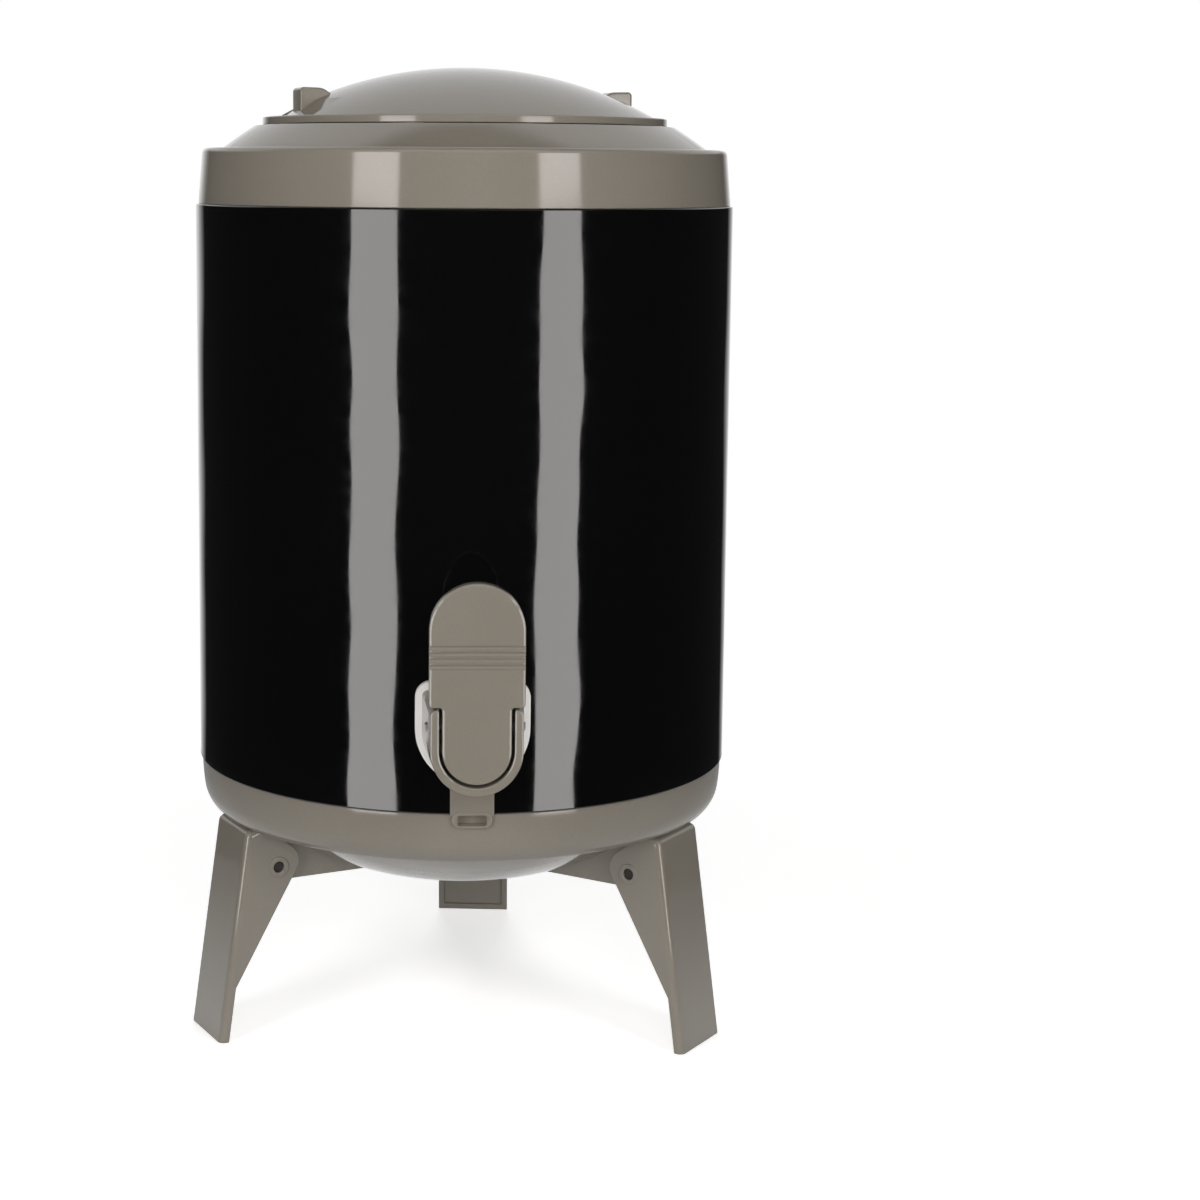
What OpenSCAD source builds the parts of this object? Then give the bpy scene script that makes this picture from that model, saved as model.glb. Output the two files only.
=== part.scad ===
// Insulated drink dispenser on three folding legs, with a lever tap and a turn-to-lock lid.
// Millimetres, +Z up, the tap faces -Y, the origin is on the body's axis at the ground.

/* [Body] */
// Outside diameter of the shell
body_d = 200; // [190:1:210]
// Height of the shell
shell_h = 207.5; // [190:0.5:230]
// Wall of the shell
shell_wall = 2; // [1.5:0.1:3]
// Insulation between the shell and the vessel
insulation_t = 8; // [6:0.5:11]

/* [Base] */
// Height of the base's rim above the ground
rim_z = 97.5; // [92:0.5:110]
// How far the base's wall stands inside the shell's face
base_inset = 0.8; // [0.3:0.1:1.2]
// Wall of the base
base_wall = 2.5; // [2:0.1:3.5]
// Height of the base's upright wall
skirt_h = 9.5; // [8:0.5:12]
// Round under the base's upright wall
skirt_round = 11; // [9:0.5:13]
// How far that round turns inward before the ledge under it
skirt_turn = 52; // [45:1:60]
// Radius of the base's round bottom
bowl_r = 140; // [132:0.5:155]
// Drop of the base's lowest place below the rim
bowl_drop = 47.6; // [46:0.1:49]
// Height of the collar's and the base's spigots inside the shell
spigot_h = 8; // [6:0.5:10]
// Wall of those spigots
spigot_wall = 2; // [1.5:0.1:2.5]
// Width of the tongue that closes the shell's slot
tongue_w = 15.3; // [15:0.1:17]
// Width of the hook boss under the tongue
hook_boss_w = 14.6; // [13.5:0.1:16]
// Height of the hook boss
hook_boss_h = 6; // [5.2:0.1:7]
// How far the hook boss stands out of the base
hook_boss_proud = 1.2; // [0.8:0.1:2]
// Width of the slot in the hook boss
hook_slot_w = 10; // [8:0.1:10.5]
// Height of the slot in the hook boss
hook_slot_h = 3.4; // [2.5:0.1:3.8]
// Depth of the slot in the hook boss
hook_slot_depth = 3; // [2:0.1:3.4]
// Drop of the hook boss below the rim
hook_drop = 2; // [1:0.1:4]

/* [Vessel] */
// Wall of the vessel
vessel_wall = 2; // [1.5:0.1:3]
// How far the vessel's neck stands inside the lid's skirt
neck_inset = 1.3; // [0.8:0.1:2.8]
// Height of the vessel's straight neck
neck_h = 6; // [4:0.5:9]
// Height of the vessel's shoulder
shoulder_h = 12; // [9:0.5:18]
// Radius of the pad around the vessel's outlet
outlet_pad_r = 13; // [12:0.5:15]
// Depth of the pad inside the vessel
outlet_pad_in = 5; // [4:0.5:8]
// Thickness of the seal on the vessel's neck
neck_seal_t = 2; // [1.5:0.1:3]

/* [Collar] */
// Height of the collar above the shell
collar_rise = 28.7; // [26:0.1:34]
// Height of the collar's step above the shell
collar_step = 20.4; // [18:0.1:23]
// How far the collar's foot stands inside the shell's face
collar_inset = 0.9; // [0.3:0.1:1.5]
// How far the collar's step edge stands inside the shell's face
collar_edge_inset = 2.6; // [2:0.1:3.5]
// Round on the collar's step edge
collar_round = 2; // [1:0.1:2.5]
// Width of the flat ledge inside the collar's step edge
collar_ledge_w = 7.4; // [5.4:0.1:11.4]
// Width of the collar's sloping shoulder
collar_shoulder_w = 12; // [10:0.1:13.5]
// Bulge of the collar's shoulder
collar_bulge = 1.2; // [0:0.1:2]
// Wall of the collar
collar_wall = 2.5; // [2:0.1:3]
// Height of the ledge that the lid's lugs lock under
lock_ledge_h = 8; // [6:0.5:9]
// Height of the room under that ledge
lock_room_h = 7.2; // [6.5:0.1:9]
// Thickness of the ring that holds the vessel's neck
neck_ring_t = 2.5; // [2:0.1:3.5]

/* [Lid] */
// How far the lid's flange stands inside the collar's shoulder
lid_inset = 2.8; // [2:0.1:4]
// Thickness of the lid's flange
lid_flange_t = 2.8; // [2:0.1:4]
// Seam under the lid's flange
lid_seam = 0.3; // [0.3:0.1:0.8]
// Rise of the lid's dome above the flange
dome_rise = 18.6; // [15:0.1:24]
// How far the dome's foot stands inside the flange
dome_inset = 4.2; // [3.2:0.1:7.2]
// Wall of the lid cover
lid_wall = 2.5; // [2:0.1:3]
// How far the lid's skirt stands inside the flange
lid_skirt_inset = 11.4; // [10.7:0.1:11.6]
// Depth of the lid's skirt below the flange
lid_skirt_h = 13.5; // [12.5:0.1:14]
// Height of a lug
lug_h = 4.5; // [3.5:0.1:4.8]
// Reach of a lug out of the skirt
lug_reach = 4; // [3:0.1:4.5]
// Width of a lug as an angle
lug_deg = 28; // [20:1:32]
// Side clearance of a lug in its notch, as an angle
lug_notch_deg = 3; // [2:0.5:5]
// Length of a grip fin
fin_len = 20; // [16:0.5:24]
// How far the outer end of a grip fin stands inside the flange
fin_inset = 10.7; // [8:0.1:12]
// Height of a grip fin above the flange
fin_h = 11; // [9:0.1:12]
// Thickness of a grip fin
fin_t = 12; // [8:0.1:14]
// Fall of a fin's top towards the middle of the lid
fin_fall = 2; // [0:0.1:3]
// Turn of the fins about the lid's axis
fin_turn = 15.5; // [0:0.1:40]
// Wall of the plug
plug_wall = 4; // [3.5:0.1:5]
// Floor of the plug
plug_floor = 2; // [1.5:0.1:3]
// Depth of the plug below the collar's top
plug_depth = 31.7; // [28:0.1:36]
// Section diameter of the plug's sealing ring
plug_ring_d = 2.6; // [2:0.1:3]
// Height of the sealing ring above the plug's underside
plug_ring_rise = 6.5; // [5:0.1:9]
// Radius of the post that carries the plug
post_r = 5; // [4:0.1:6]
// Radius of the retainer on the post
retainer_r = 11; // [9:0.5:14]
// Thickness of the retainer
retainer_t = 3; // [2:0.1:4]

/* [Tap] */
// Height of the tap's axis above the rim
tap_rise = 30.7; // [28:0.1:36]
// Reach of the tap's front beyond the shell
tap_reach = 34; // [32:0.1:40]
// Width of the tap's front
tap_front_w = 30.8; // [30:0.1:33]
// Width of the tap where it meets its gasket
tap_back_w = 35; // [34:0.1:37]
// Height of the tap's side walls above its axis
tap_wall_rise = 13.8; // [13:0.1:16]
// Wall around the tap's lever pocket
tap_wall = 2.9; // [2.4:0.1:3.2]
// Depth of the tap's lever pocket
pocket_depth = 19; // [18.6:0.1:20]
// Width of the tap's gasket
gasket_w = 39.6; // [38.5:0.1:42]
// Height of the gasket's top above the tap's axis
gasket_rise = 16.6; // [15:0.1:19]
// Round on the gasket's top corners
gasket_round = 6; // [3:0.1:8]
// Thickness of the gasket
gasket_t = 2.5; // [1.5:0.1:3.2]
// Radius of the tap's shank
shank_r = 7; // [6.5:0.1:7.4]
// Radius of the passage through the shank
passage_r = 4.5; // [3.5:0.1:5]
// Radius of the valve chamber
chamber_r = 7.5; // [7:0.1:8]
// Depth of the valve chamber behind the pocket
chamber_depth = 10.5; // [10:0.1:11]
// Thickness of the bonnet that closes the chamber
bonnet_t = 2.5; // [2:0.1:3]
// Radius of the spout's bore
spout_r = 4; // [3:0.1:4.4]
// Wall of the spout
spout_wall = 1.5; // [1:0.1:1.6]
// Drop of the spout's mouth below the tap's axis
spout_drop = 19.5; // [18.5:0.1:22]
// Thickness of the washer inside the vessel
washer_t = 2; // [1.5:0.1:3]
// Reach of the washer beyond the shank
washer_reach = 5; // [4:0.1:5.5]
// Thickness of the nut inside the vessel
nut_t = 7; // [5:0.5:10]
// Width of the nut across its flats
nut_w = 24; // [20:0.5:25]

/* [Valve] */
// Radius of the valve's seal
seal_r = 6.2; // [5.6:0.1:6.5]
// Thickness of the valve's seal
seal_t = 2; // [1.5:0.1:2.3]
// Radius of the stem
stem_r = 2.4; // [2:0.1:2.5]
// Radius of the disc that carries the seal
carrier_r = 5.5; // [5:0.1:5.6]
// Thickness of that disc
carrier_t = 1.2; // [1:0.1:1.5]
// Radius of the stem's head
head_r = 4.4; // [4:0.1:4.8]
// Thickness of the stem's head
head_t = 1.6; // [1.2:0.1:2]
// Mean radius of the valve's spring
spring_r = 4; // [3.8:0.1:4.2]
// Wire of the valve's spring
spring_wire = 1; // [0.6:0.1:1.2]

/* [Lever] */
// Width of the lever
lever_w = 31.8; // [30:0.1:34]
// Height of the lever's top above the tap's axis
lever_top = 56; // [48:0.1:64]
// Thickness of the lever's plate
lever_t = 4.5; // [3.5:0.1:5]
// Gap around the lever's lower lobe
lever_gap = 1; // [0.6:0.1:1.4]
// Gap above the tap's side walls
notch_gap = 0.6; // [0.4:0.1:1]
// Number of grip grooves
groove_count = 4; // [2:1:5]
// Step between the grip grooves
groove_step = 2.1; // [1.8:0.1:2.6]
// Height of the middle of the grooves above the tap's axis
groove_rise = 30.9; // [24:0.1:36]
// Width of a grip groove
groove_w = 1; // [0.6:0.1:1.2]
// Depth of a grip groove
groove_depth = 0.4; // [0.2:0.1:0.8]
// Height of the lever's pivot above the tap's axis
pivot_rise = 5; // [4.8:0.1:6]
// Distance of the pivot in front of the pocket's floor
pivot_off = 4; // [3.9:0.1:4.4]
// Radius of the pivot pin
pivot_pin_r = 1.5; // [1.2:0.1:1.8]
// Radius of the lever's hub around the pin
hub_r = 3.4; // [3:0.1:3.5]
// Thickness of each arm of the lever
arm_t = 4; // [3:0.1:5]
// Gap between an arm and the stem's head
arm_gap = 0.8; // [0.5:0.1:1]
// Thickness of the prongs that pull the stem
prong_t = 2.3; // [1.8:0.1:2.6]

/* [Legs] */
// Turn of the set of legs about the body's axis
leg_turn = -5.2; // [-20:0.1:20]
// Outside width of a leg
leg_w = 29.6; // [26:0.1:33]
// Wall of a leg
leg_wall = 2.5; // [2:0.1:3]
// How far a leg's foot stands outside the body
foot_out = 6; // [2:0.1:9]
// How far a leg's top stands inside the body
leg_top_in = 5.3; // [4:0.1:6.5]
// Clearance of a leg's top under the base's ledge
leg_top_gap = 0.7; // [0.5:0.1:3]
// Depth of the wall that closes a leg's top
leg_lip = 5.7; // [4:0.1:7]
// Depth of a leg's channel at the foot
foot_depth = 3.7; // [3.2:0.1:5]
// Height of the knee in the leg's inner edge
knee_z = 20.2; // [15:0.1:25]
// Distance of the leg's pin inside the body
pin_in = 17.5; // [16.5:0.1:18.5]
// Drop of the leg's pin below the rim
pin_drop = 33.5; // [33:0.1:35]
// Radius of the leg's pin
leg_pin_r = 2; // [1.5:0.1:2.5]
// How far the pin's end lies below the leg's side
pin_recess = 0.4; // [0.2:0.1:0.8]
// Radius of the raised ring around the pin
pin_ring_r = 4.2; // [3.5:0.1:5]
// Height of that ring
pin_ring_h = 0.5; // [0.2:0.1:0.8]
// Radius of the round end of a leg's side
eye_r = 7.2; // [6.4:0.1:7.8]
// How far that round's middle lies inside the pin
eye_in = 1.1; // [0:0.1:1.4]
// How far that round's middle lies above the pin
eye_rise = 1.4; // [0:0.1:1.6]
// Radius of the base's lug around the pin
lug_eye_r = 5.8; // [4.5:0.1:6.8]
// Thickness of each cheek of that lug
cheek_t = 3; // [2:0.1:4]
// Side clearance between a leg and its lug
leg_gap = 0.3; // [0.2:0.05:0.5]

/* [Fits] */
// Clearance of a shaft in its hole
run_gap = 0.05; // [0.02:0.01:0.1]
// Clearance between pieces that move past each other
move_gap = 0.3; // [0.2:0.05:0.4]
// Clearance of the tongue in the shell's slot
slot_gap = 0.2; // [0.1:0.05:0.4]
// Clearance of the valve's seal from its seat
seat_gap = 0.15; // [0.1:0.05:0.2]

/* [Hidden] */
$fn = 96;
over = 1;

taupe = "#87837b";
black = "#0b0a0a";
white = "#f2f1ee";
steel = "#b9bbbd";
dark_steel = "#3a3634";
foam = "#e8e3d2";
rubber = "#d8d6d0";

body_r = body_d / 2;
shell_in_r = body_r - shell_wall;
shell_top = rim_z + shell_h;
base_r = body_r - base_inset;
bowl_z = rim_z - bowl_drop + bowl_r;
skirt_c = [base_r - skirt_round, rim_z - skirt_h];
ledge_z = skirt_c[1] - skirt_round * sin(skirt_turn);
spigot_r = shell_in_r - spigot_wall;
collar_top = shell_top + collar_rise;
step_z = shell_top + collar_step;
collar_shoulder_r = body_r - collar_edge_inset - collar_ledge_w;
collar_top_r = collar_shoulder_r - collar_shoulder_w;

lid_r = collar_top_r - lid_inset;
dome_foot_r = lid_r - dome_inset;
fin_end_r = lid_r - fin_inset;
lid_skirt_r = lid_r - lid_skirt_inset;
lid_bore_r = lid_skirt_r - lid_wall;
neck_r = lid_bore_r - neck_inset;

vessel_r = shell_in_r - insulation_t;
vessel_z = rim_z + spigot_h;
lock_z = collar_top - lock_ledge_h;
lock_floor = lock_z - lock_room_h;
neck_ring_z = lock_floor - neck_ring_t;
neck_top = neck_ring_z - neck_seal_t;
neck_z = neck_top - neck_h;
shoulder_z = neck_z - shoulder_h;
neck_out_r = neck_r + vessel_wall;

flange_z = collar_top + lid_seam;
flange_top = flange_z + lid_flange_t;
dome_r = (dome_foot_r * dome_foot_r + dome_rise * dome_rise) / (2 * dome_rise);
dome_z = flange_top + dome_rise - dome_r;
skirt_bottom = flange_z - lid_skirt_h;
lug_r = lid_skirt_r + lug_reach;
lock_bore_r = lid_skirt_r + 2 * move_gap;
lock_room_r = lug_r + 2 * move_gap;
lock_notch_r = lug_r + move_gap;
lug_count = 3;
plug_r = neck_r - 2.5 * move_gap;
plug_z = collar_top - plug_depth;
plug_ring_r = neck_r - move_gap - plug_ring_d / 2;
plug_hub_r = post_r + run_gap + plug_wall;
retainer_z = plug_z - move_gap - retainer_t;

tap_z = rim_z + tap_rise;
tap_y = -(body_r + tap_reach);
pocket_y = tap_y + pocket_depth;
seat_y = pocket_y + chamber_depth;
bonnet_y = pocket_y + bonnet_t;
gasket_r = body_r + gasket_t;
tap_top = tap_z + tap_wall_rise;
pocket_r = tap_front_w / 2 - tap_wall;
pad_y = -(body_r - shell_wall - move_gap - outlet_pad_r * outlet_pad_r / (2 * shell_in_r));
pad_in_y = -(vessel_r - vessel_wall - outlet_pad_in);
washer_y = pad_in_y + washer_t;
nut_y = washer_y + nut_t;
shank_end = nut_y + over;
slot_w = tongue_w + 2 * slot_gap;
spout_y = (bonnet_y + seat_y) / 2;

seal_y = seat_y - seat_gap;
carrier_y = seal_y - seal_t;
spring_y = carrier_y - carrier_t;
pivot_y = pocket_y - pivot_off;
pivot_z = tap_z + pivot_rise;
prong_y = pivot_y - 0.7;
head_y = prong_y - move_gap;
lobe_r = pocket_r - lever_gap;
notch_z = tap_top + notch_gap;
arm_x = head_r + arm_gap;
tap_pin_half = tap_front_w / 2 + (tap_back_w - tap_front_w) / 2 * pocket_depth / tap_reach + move_gap;

foot_r = body_r + foot_out;
leg_top_r = body_r - leg_top_in;
leg_top_z = ledge_z - leg_top_gap;
pin_r = body_r - pin_in;
pin_z = rim_z - pin_drop;
eye_c = [pin_r - eye_in, pin_z + eye_rise];
leg_in_w = leg_w - 2 * leg_wall;
lug_w = leg_in_w - 2 * leg_gap;
LEG_TURNS = [-60 + leg_turn, 60 + leg_turn, 180 + leg_turn];

// Radius of a leg's outer face at a height
function leg_face(z) = foot_r + (leg_top_r - foot_r) * z / leg_top_z;
// Points of an arc about a centre
function arc(c, r, a0, a1, steps = 8) =
    [for (i = [0 : steps]) c + r * [cos(a0 + (a1 - a0) * i / steps), sin(a0 + (a1 - a0) * i / steps)]];
// Points of a curve between two ends with one control point
function bend(a, b, c, steps = 8) =
    [for (i = [0 : steps]) let (t = i / steps) (1 - t) * (1 - t) * a + 2 * t * (1 - t) * b + t * t * c];

// A cylinder along Y between two places
module along_y(y0, y1, r) {
    translate([0, y0, tap_z]) rotate([-90, 0, 0]) cylinder(h = y1 - y0, r = r);
}

// A tube along Z between two heights
module ring(z0, z1, r_out, r_in) {
    translate([0, 0, z0]) difference() {
        cylinder(h = z1 - z0, r = r_out);
        translate([0, 0, -over]) cylinder(h = z1 - z0 + 2 * over, r = r_in);
    }
}

// A wedge of a tube about the lid's axis
module wedge(z0, z1, r_out, r_in, deg) {
    intersection() {
        ring(z0, z1, r_out, r_in);
        translate([0, 0, z0]) linear_extrude(z1 - z0)
            polygon([[0, 0], 2 * r_out * [cos(deg / 2), -sin(deg / 2)],
                2 * r_out * [cos(deg / 2), sin(deg / 2)]]);
    }
}

// Copies the lugs' places around the lid
module lug_places() {
    for (i = [0 : lug_count - 1]) rotate([0, 0, 90 + i * 360 / lug_count]) children();
}

// An outline in the XZ plane, drawn out along Y from the front to the back
module front_plate(y_front, t) {
    translate([0, y_front + t, tap_z]) rotate([90, 0, 0]) linear_extrude(t) children();
}

// The U outline of the tap: round below, straight above
module u_outline(r, rise) {
    intersection() {
        circle(r);
        translate([-r, -r]) square([2 * r, r]);
    }
    translate([-r, 0]) square([2 * r, rise]);
}

// Turns a leg's own plane, radius and height, to its place round the body
module leg_place(turn) {
    rotate([0, 0, turn - 90]) children();
}

// A leg's side outline, drawn out across the leg between two places
module leg_slab(y0, y1) {
    translate([0, y1, 0]) rotate([90, 0, 0]) linear_extrude(y1 - y0) children();
}

module outer_shell() {
    color(black) difference() {
        ring(rim_z, shell_top, body_r, shell_in_r);
        translate([-slot_w / 2, -body_r - over, rim_z - over])
            cube([slot_w, shell_wall + 4 * over, tap_rise + over]);
        along_y(-body_r - over, -shell_in_r + 4 * over, slot_w / 2);
    }
}

module collar() {
    shoulder_foot = [collar_shoulder_r, step_z];
    shoulder_top = [collar_top_r, collar_top];
    crown = (shoulder_foot + shoulder_top) / 2 + collar_bulge * [1, 1.5];
    edge = [body_r - collar_edge_inset - collar_round, step_z - collar_round];
    room_out = lock_room_r + collar_wall;
    color(taupe) difference() {
        rotate_extrude() polygon(concat(
            [[body_r - collar_inset, shell_top]],
            arc(edge, collar_round, 0, 90),
            bend(shoulder_foot, crown, shoulder_top),
            [[lock_bore_r, collar_top], [lock_bore_r, lock_z], [lock_room_r, lock_z],
                [lock_room_r, lock_floor], [neck_r, lock_floor], [neck_r, neck_ring_z],
                [room_out, neck_ring_z], [room_out, collar_top - collar_wall],
                [collar_top_r - 1, collar_top - collar_wall],
                [collar_shoulder_r - 1, step_z - collar_wall],
                [edge[0] - 1, step_z - collar_wall],
                [spigot_r, step_z - collar_round - collar_wall],
                [spigot_r, shell_top - spigot_h], [shell_in_r, shell_top - spigot_h],
                [shell_in_r, shell_top]]));
        lug_places() wedge(lock_z - over, collar_top + over, lock_notch_r, lock_bore_r - over,
            lug_deg + 2 * lug_notch_deg);
    }
}

module base_cup() {
    color(taupe) difference() {
        union() {
            difference() {
                union() {
                    intersection() {
                        translate([0, 0, bowl_z]) sphere(bowl_r);
                        cylinder(h = ledge_z, r = base_r);
                    }
                    skirt(skirt_round);
                    translate([0, 0, rim_z]) cylinder(h = spigot_h, r = shell_in_r);
                    hook_boss();
                    tongue();
                    for (turn = LEG_TURNS) leg_place(turn) leg_lug();
                }
                base_room();
            }
        }
        hook_slot();
        for (turn = LEG_TURNS) leg_place(turn) pin_line(leg_pin_r, lug_w + over);
    }
}

// The base's upper disc: an upright wall over a round that ends at a ledge
module skirt(r) {
    rotate_extrude() polygon(concat([[0, rim_z], [0, skirt_c[1] - r * sin(skirt_turn)]],
        arc(skirt_c, r, -skirt_turn, 0), [[skirt_c[0] + r, rim_z]]));
}

// The room inside the base
module base_room() {
    intersection() {
        union() {
            translate([0, 0, bowl_z]) sphere(bowl_r - base_wall);
            skirt(skirt_round - base_wall);
        }
        cylinder(h = rim_z, r = spigot_r);
    }
    translate([0, 0, rim_z - over]) cylinder(h = spigot_h + 2 * over, r = spigot_r);
}

// The tongue that fills the shell's slot under the tap
module tongue() {
    top = tap_rise - shank_r - 2 * move_gap;
    intersection() {
        ring(rim_z - skirt_h / 2, rim_z + top, body_r, shell_in_r - spigot_wall / 2);
        translate([-tongue_w / 2, -body_r - over, 0]) cube([tongue_w, body_r, rim_z + top]);
    }
}

module hook_boss() {
    flat = hook_boss_w - hook_boss_h;
    front_y = -(base_r + hook_boss_proud);
    translate([0, front_y, rim_z - hook_drop]) rotate([-90, 0, 0]) {
        for (side = [-1, 1]) translate([side * flat / 2, 0, 0]) cylinder(h = base_wall + 2, d = hook_boss_h);
        translate([-flat / 2, -hook_boss_h / 2, 0]) cube([flat, hook_boss_h, base_wall + 2]);
    }
}

module hook_slot() {
    front_y = -(base_r + hook_boss_proud);
    translate([-hook_slot_w / 2, front_y - over, rim_z - hook_drop - hook_slot_h / 2])
        cube([hook_slot_w, hook_slot_depth + over, hook_slot_h]);
}

// Two cheeks under the base that hold a leg's pin and stop the leg's top
module leg_lug() {
    low_z = pin_z - lug_eye_r;
    high_z = skirt_c[1];
    in_r = pin_r / 3;
    stop_r = leg_top_r - leg_lip - move_gap;
    for (side = [-1, 1]) {
        y = side * (lug_w - cheek_t) / 2;
        difference() {
            leg_slab(y - cheek_t / 2, y + cheek_t / 2) {
                translate([pin_r, pin_z]) circle(lug_eye_r);
                polygon([[in_r, low_z], [pin_r, low_z], [pin_r + lug_eye_r, pin_z],
                    [stop_r, leg_top_z - leg_wall], [stop_r, high_z], [in_r, high_z]]);
            }
            translate([0, 0, bowl_z]) sphere(bowl_r - base_wall / 2);
        }
    }
}

// A round line across a leg at its pin
module pin_line(r, len) {
    translate([pin_r, len / 2, pin_z]) rotate([90, 0, 0]) cylinder(h = len, r = r);
}

module inner_vessel() {
    color(white) difference() {
        ring(vessel_z + vessel_wall, shoulder_z, vessel_r, vessel_r - vessel_wall);
        along_y(-body_r, -vessel_r / 2, outlet_pad_r);
    }
}

module vessel_floor() {
    color(white) translate([0, 0, vessel_z]) cylinder(h = vessel_wall, r = vessel_r);
}

module vessel_shoulder() {
    color(white) rotate_extrude() polygon([[vessel_r, shoulder_z], [neck_out_r, neck_z],
        [neck_out_r, neck_top], [neck_r, neck_top], [neck_r, neck_z], [vessel_r - vessel_wall, shoulder_z]]);
}

// The thick pad in the vessel's wall that the tap is clamped to
module outlet_pad() {
    color(white) difference() {
        intersection() {
            along_y(pad_y, pad_in_y, outlet_pad_r);
            translate([0, 0, vessel_z]) cylinder(h = shell_h, r = shell_in_r - move_gap);
        }
        along_y(pad_y - over, pad_in_y + over, shank_r + run_gap);
    }
}

module neck_seal() {
    color(rubber) ring(neck_top, neck_ring_z, neck_out_r, neck_r);
}

module insulation_sleeve() {
    color(foam) difference() {
        ring(vessel_z, shell_top - spigot_h, shell_in_r, vessel_r);
        along_y(-body_r, -vessel_r / 2, outlet_pad_r);
        translate([-slot_w / 2, -body_r, vessel_z - over])
            cube([slot_w, shell_wall + spigot_wall + over, tap_z - vessel_z]);
    }
}

module base_insulation() {
    color(foam) intersection() {
        base_room();
        cylinder(h = vessel_z, r = spigot_r);
    }
}

module tap_gasket() {
    flat = gasket_w / 2 - gasket_round;
    color(white) difference() {
        intersection() {
            front_plate(-body_r - tap_reach, tap_reach + shell_wall) {
                u_outline(gasket_w / 2, gasket_rise - gasket_round);
                for (side = [-1, 1])
                    translate([side * flat, gasket_rise - gasket_round]) circle(gasket_round);
                translate([-flat, 0]) square([2 * flat, gasket_rise]);
            }
            ring(rim_z, shell_top, gasket_r, body_r);
        }
        along_y(-gasket_r - over, -body_r + shell_wall, shank_r + run_gap);
    }
}

module tap_body() {
    color(taupe) difference() {
        union() {
            difference() {
                hull($fn = 64) {
                    front_plate(tap_y, over) u_outline(tap_front_w / 2, tap_wall_rise);
                    front_plate(-body_r - over, over) u_outline(tap_back_w / 2, tap_wall_rise);
                }
                cylinder(h = shell_top, r = gasket_r, $fn = 180);
            }
            translate([0, spout_y, tap_z - spout_drop])
                cylinder(h = spout_drop - shank_r, r = spout_r + spout_wall);
        }
        front_plate(tap_y - over, pocket_depth + over) u_outline(pocket_r, tap_wall_rise + over);
        along_y(pocket_y - over, seat_y, chamber_r);
        along_y(seat_y - over, shank_end + over, shank_r);
        translate([0, spout_y, tap_z - spout_drop - over]) cylinder(h = spout_drop + over, r = spout_r);
        lever_line(pivot_pin_r, tap_pin_half);
    }
}

// The tap's tail: its front end is the valve's seat, its back end goes into the vessel
module tap_shank() {
    color(taupe) difference() {
        along_y(seat_y, shank_end, shank_r);
        along_y(seat_y - over, shank_end + over, passage_r);
    }
}

// A round line along X through the lever's pivot
module lever_line(r, half) {
    translate([-half, pivot_y, pivot_z]) rotate([0, 90, 0]) cylinder(h = 2 * half, r = r);
}

module tap_bonnet() {
    color(taupe) difference() {
        along_y(pocket_y, bonnet_y, chamber_r);
        along_y(pocket_y - over, bonnet_y + over, stem_r + run_gap);
    }
}

module tap_washer() {
    color(rubber) difference() {
        along_y(pad_in_y, washer_y, shank_r + washer_reach);
        along_y(pad_in_y - over, washer_y + over, shank_r + run_gap);
    }
}

module tap_nut() {
    color(taupe) difference() {
        translate([0, washer_y, tap_z]) rotate([-90, 0, 0])
            cylinder(h = nut_t, d = nut_w / cos(30), $fn = 6);
        along_y(washer_y - over, nut_y + over, shank_r);
    }
}

// The stem, with a flat on its head that keeps clear of the lever's pin
module valve_stem() {
    color(white) {
        along_y(spring_y, carrier_y, carrier_r);
        along_y(head_y - head_t / 2, spring_y + carrier_t / 2, stem_r);
        difference() {
            along_y(head_y - head_t, head_y, head_r);
            translate([-head_r, head_y - head_t - over, pivot_z - pivot_pin_r - move_gap])
                cube([2 * head_r, head_t + 2 * over, head_r]);
        }
    }
}

module valve_seal() {
    color(rubber) along_y(carrier_y, seal_y, seal_r);
}

module valve_spring() {
    color(steel) difference() {
        along_y(bonnet_y, spring_y, spring_r + spring_wire / 2);
        along_y(bonnet_y - over, spring_y + over, spring_r - spring_wire / 2);
    }
}

module tap_lever() {
    color(taupe) difference() {
        union() {
            front_plate(tap_y, lever_t) lever_outline();
            for (side = [-1, 1]) lever_arm(side);
        }
        for (i = [0 : groove_count - 1])
            translate([-lever_w, tap_y - over,
                tap_z + groove_rise + groove_step * (i - (groove_count - 1) / 2) - groove_w / 2])
                cube([2 * lever_w, groove_depth + over, groove_w]);
        lever_line(pivot_pin_r + run_gap, lever_w);
    }
}

// The lever from the front: a wide round-topped plate with a narrow lobe below
module lever_outline() {
    shoulder = notch_z - tap_z;
    top_r = lever_w / 2;
    circle(lobe_r);
    translate([-lobe_r, 0]) square([2 * lobe_r, shoulder + over]);
    translate([-top_r, shoulder]) square([lever_w, lever_top - top_r - shoulder]);
    translate([0, lever_top - top_r]) circle(top_r);
}

// One arm behind the lever, with its hub and the prong that pulls the stem
module lever_arm(side) {
    low = -stem_r / 4;
    x0 = side > 0 ? arm_x : -arm_x - arm_t;
    prong_w = arm_x - stem_r - arm_gap / 2 + over;
    prong_x = side > 0 ? arm_x + over - prong_w : -arm_x - over;
    translate([x0, tap_y + lever_t - over, pivot_z - hub_r])
        cube([arm_t, pivot_y - tap_y - lever_t + over, 2 * hub_r]);
    translate([x0, pivot_y, pivot_z]) rotate([0, 90, 0]) cylinder(h = arm_t, r = hub_r);
    translate([prong_x, prong_y, tap_z + low]) cube([prong_w, prong_t, pivot_rise - low]);
}

module lever_pin() {
    color(steel) lever_line(pivot_pin_r, tap_pin_half);
}

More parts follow.
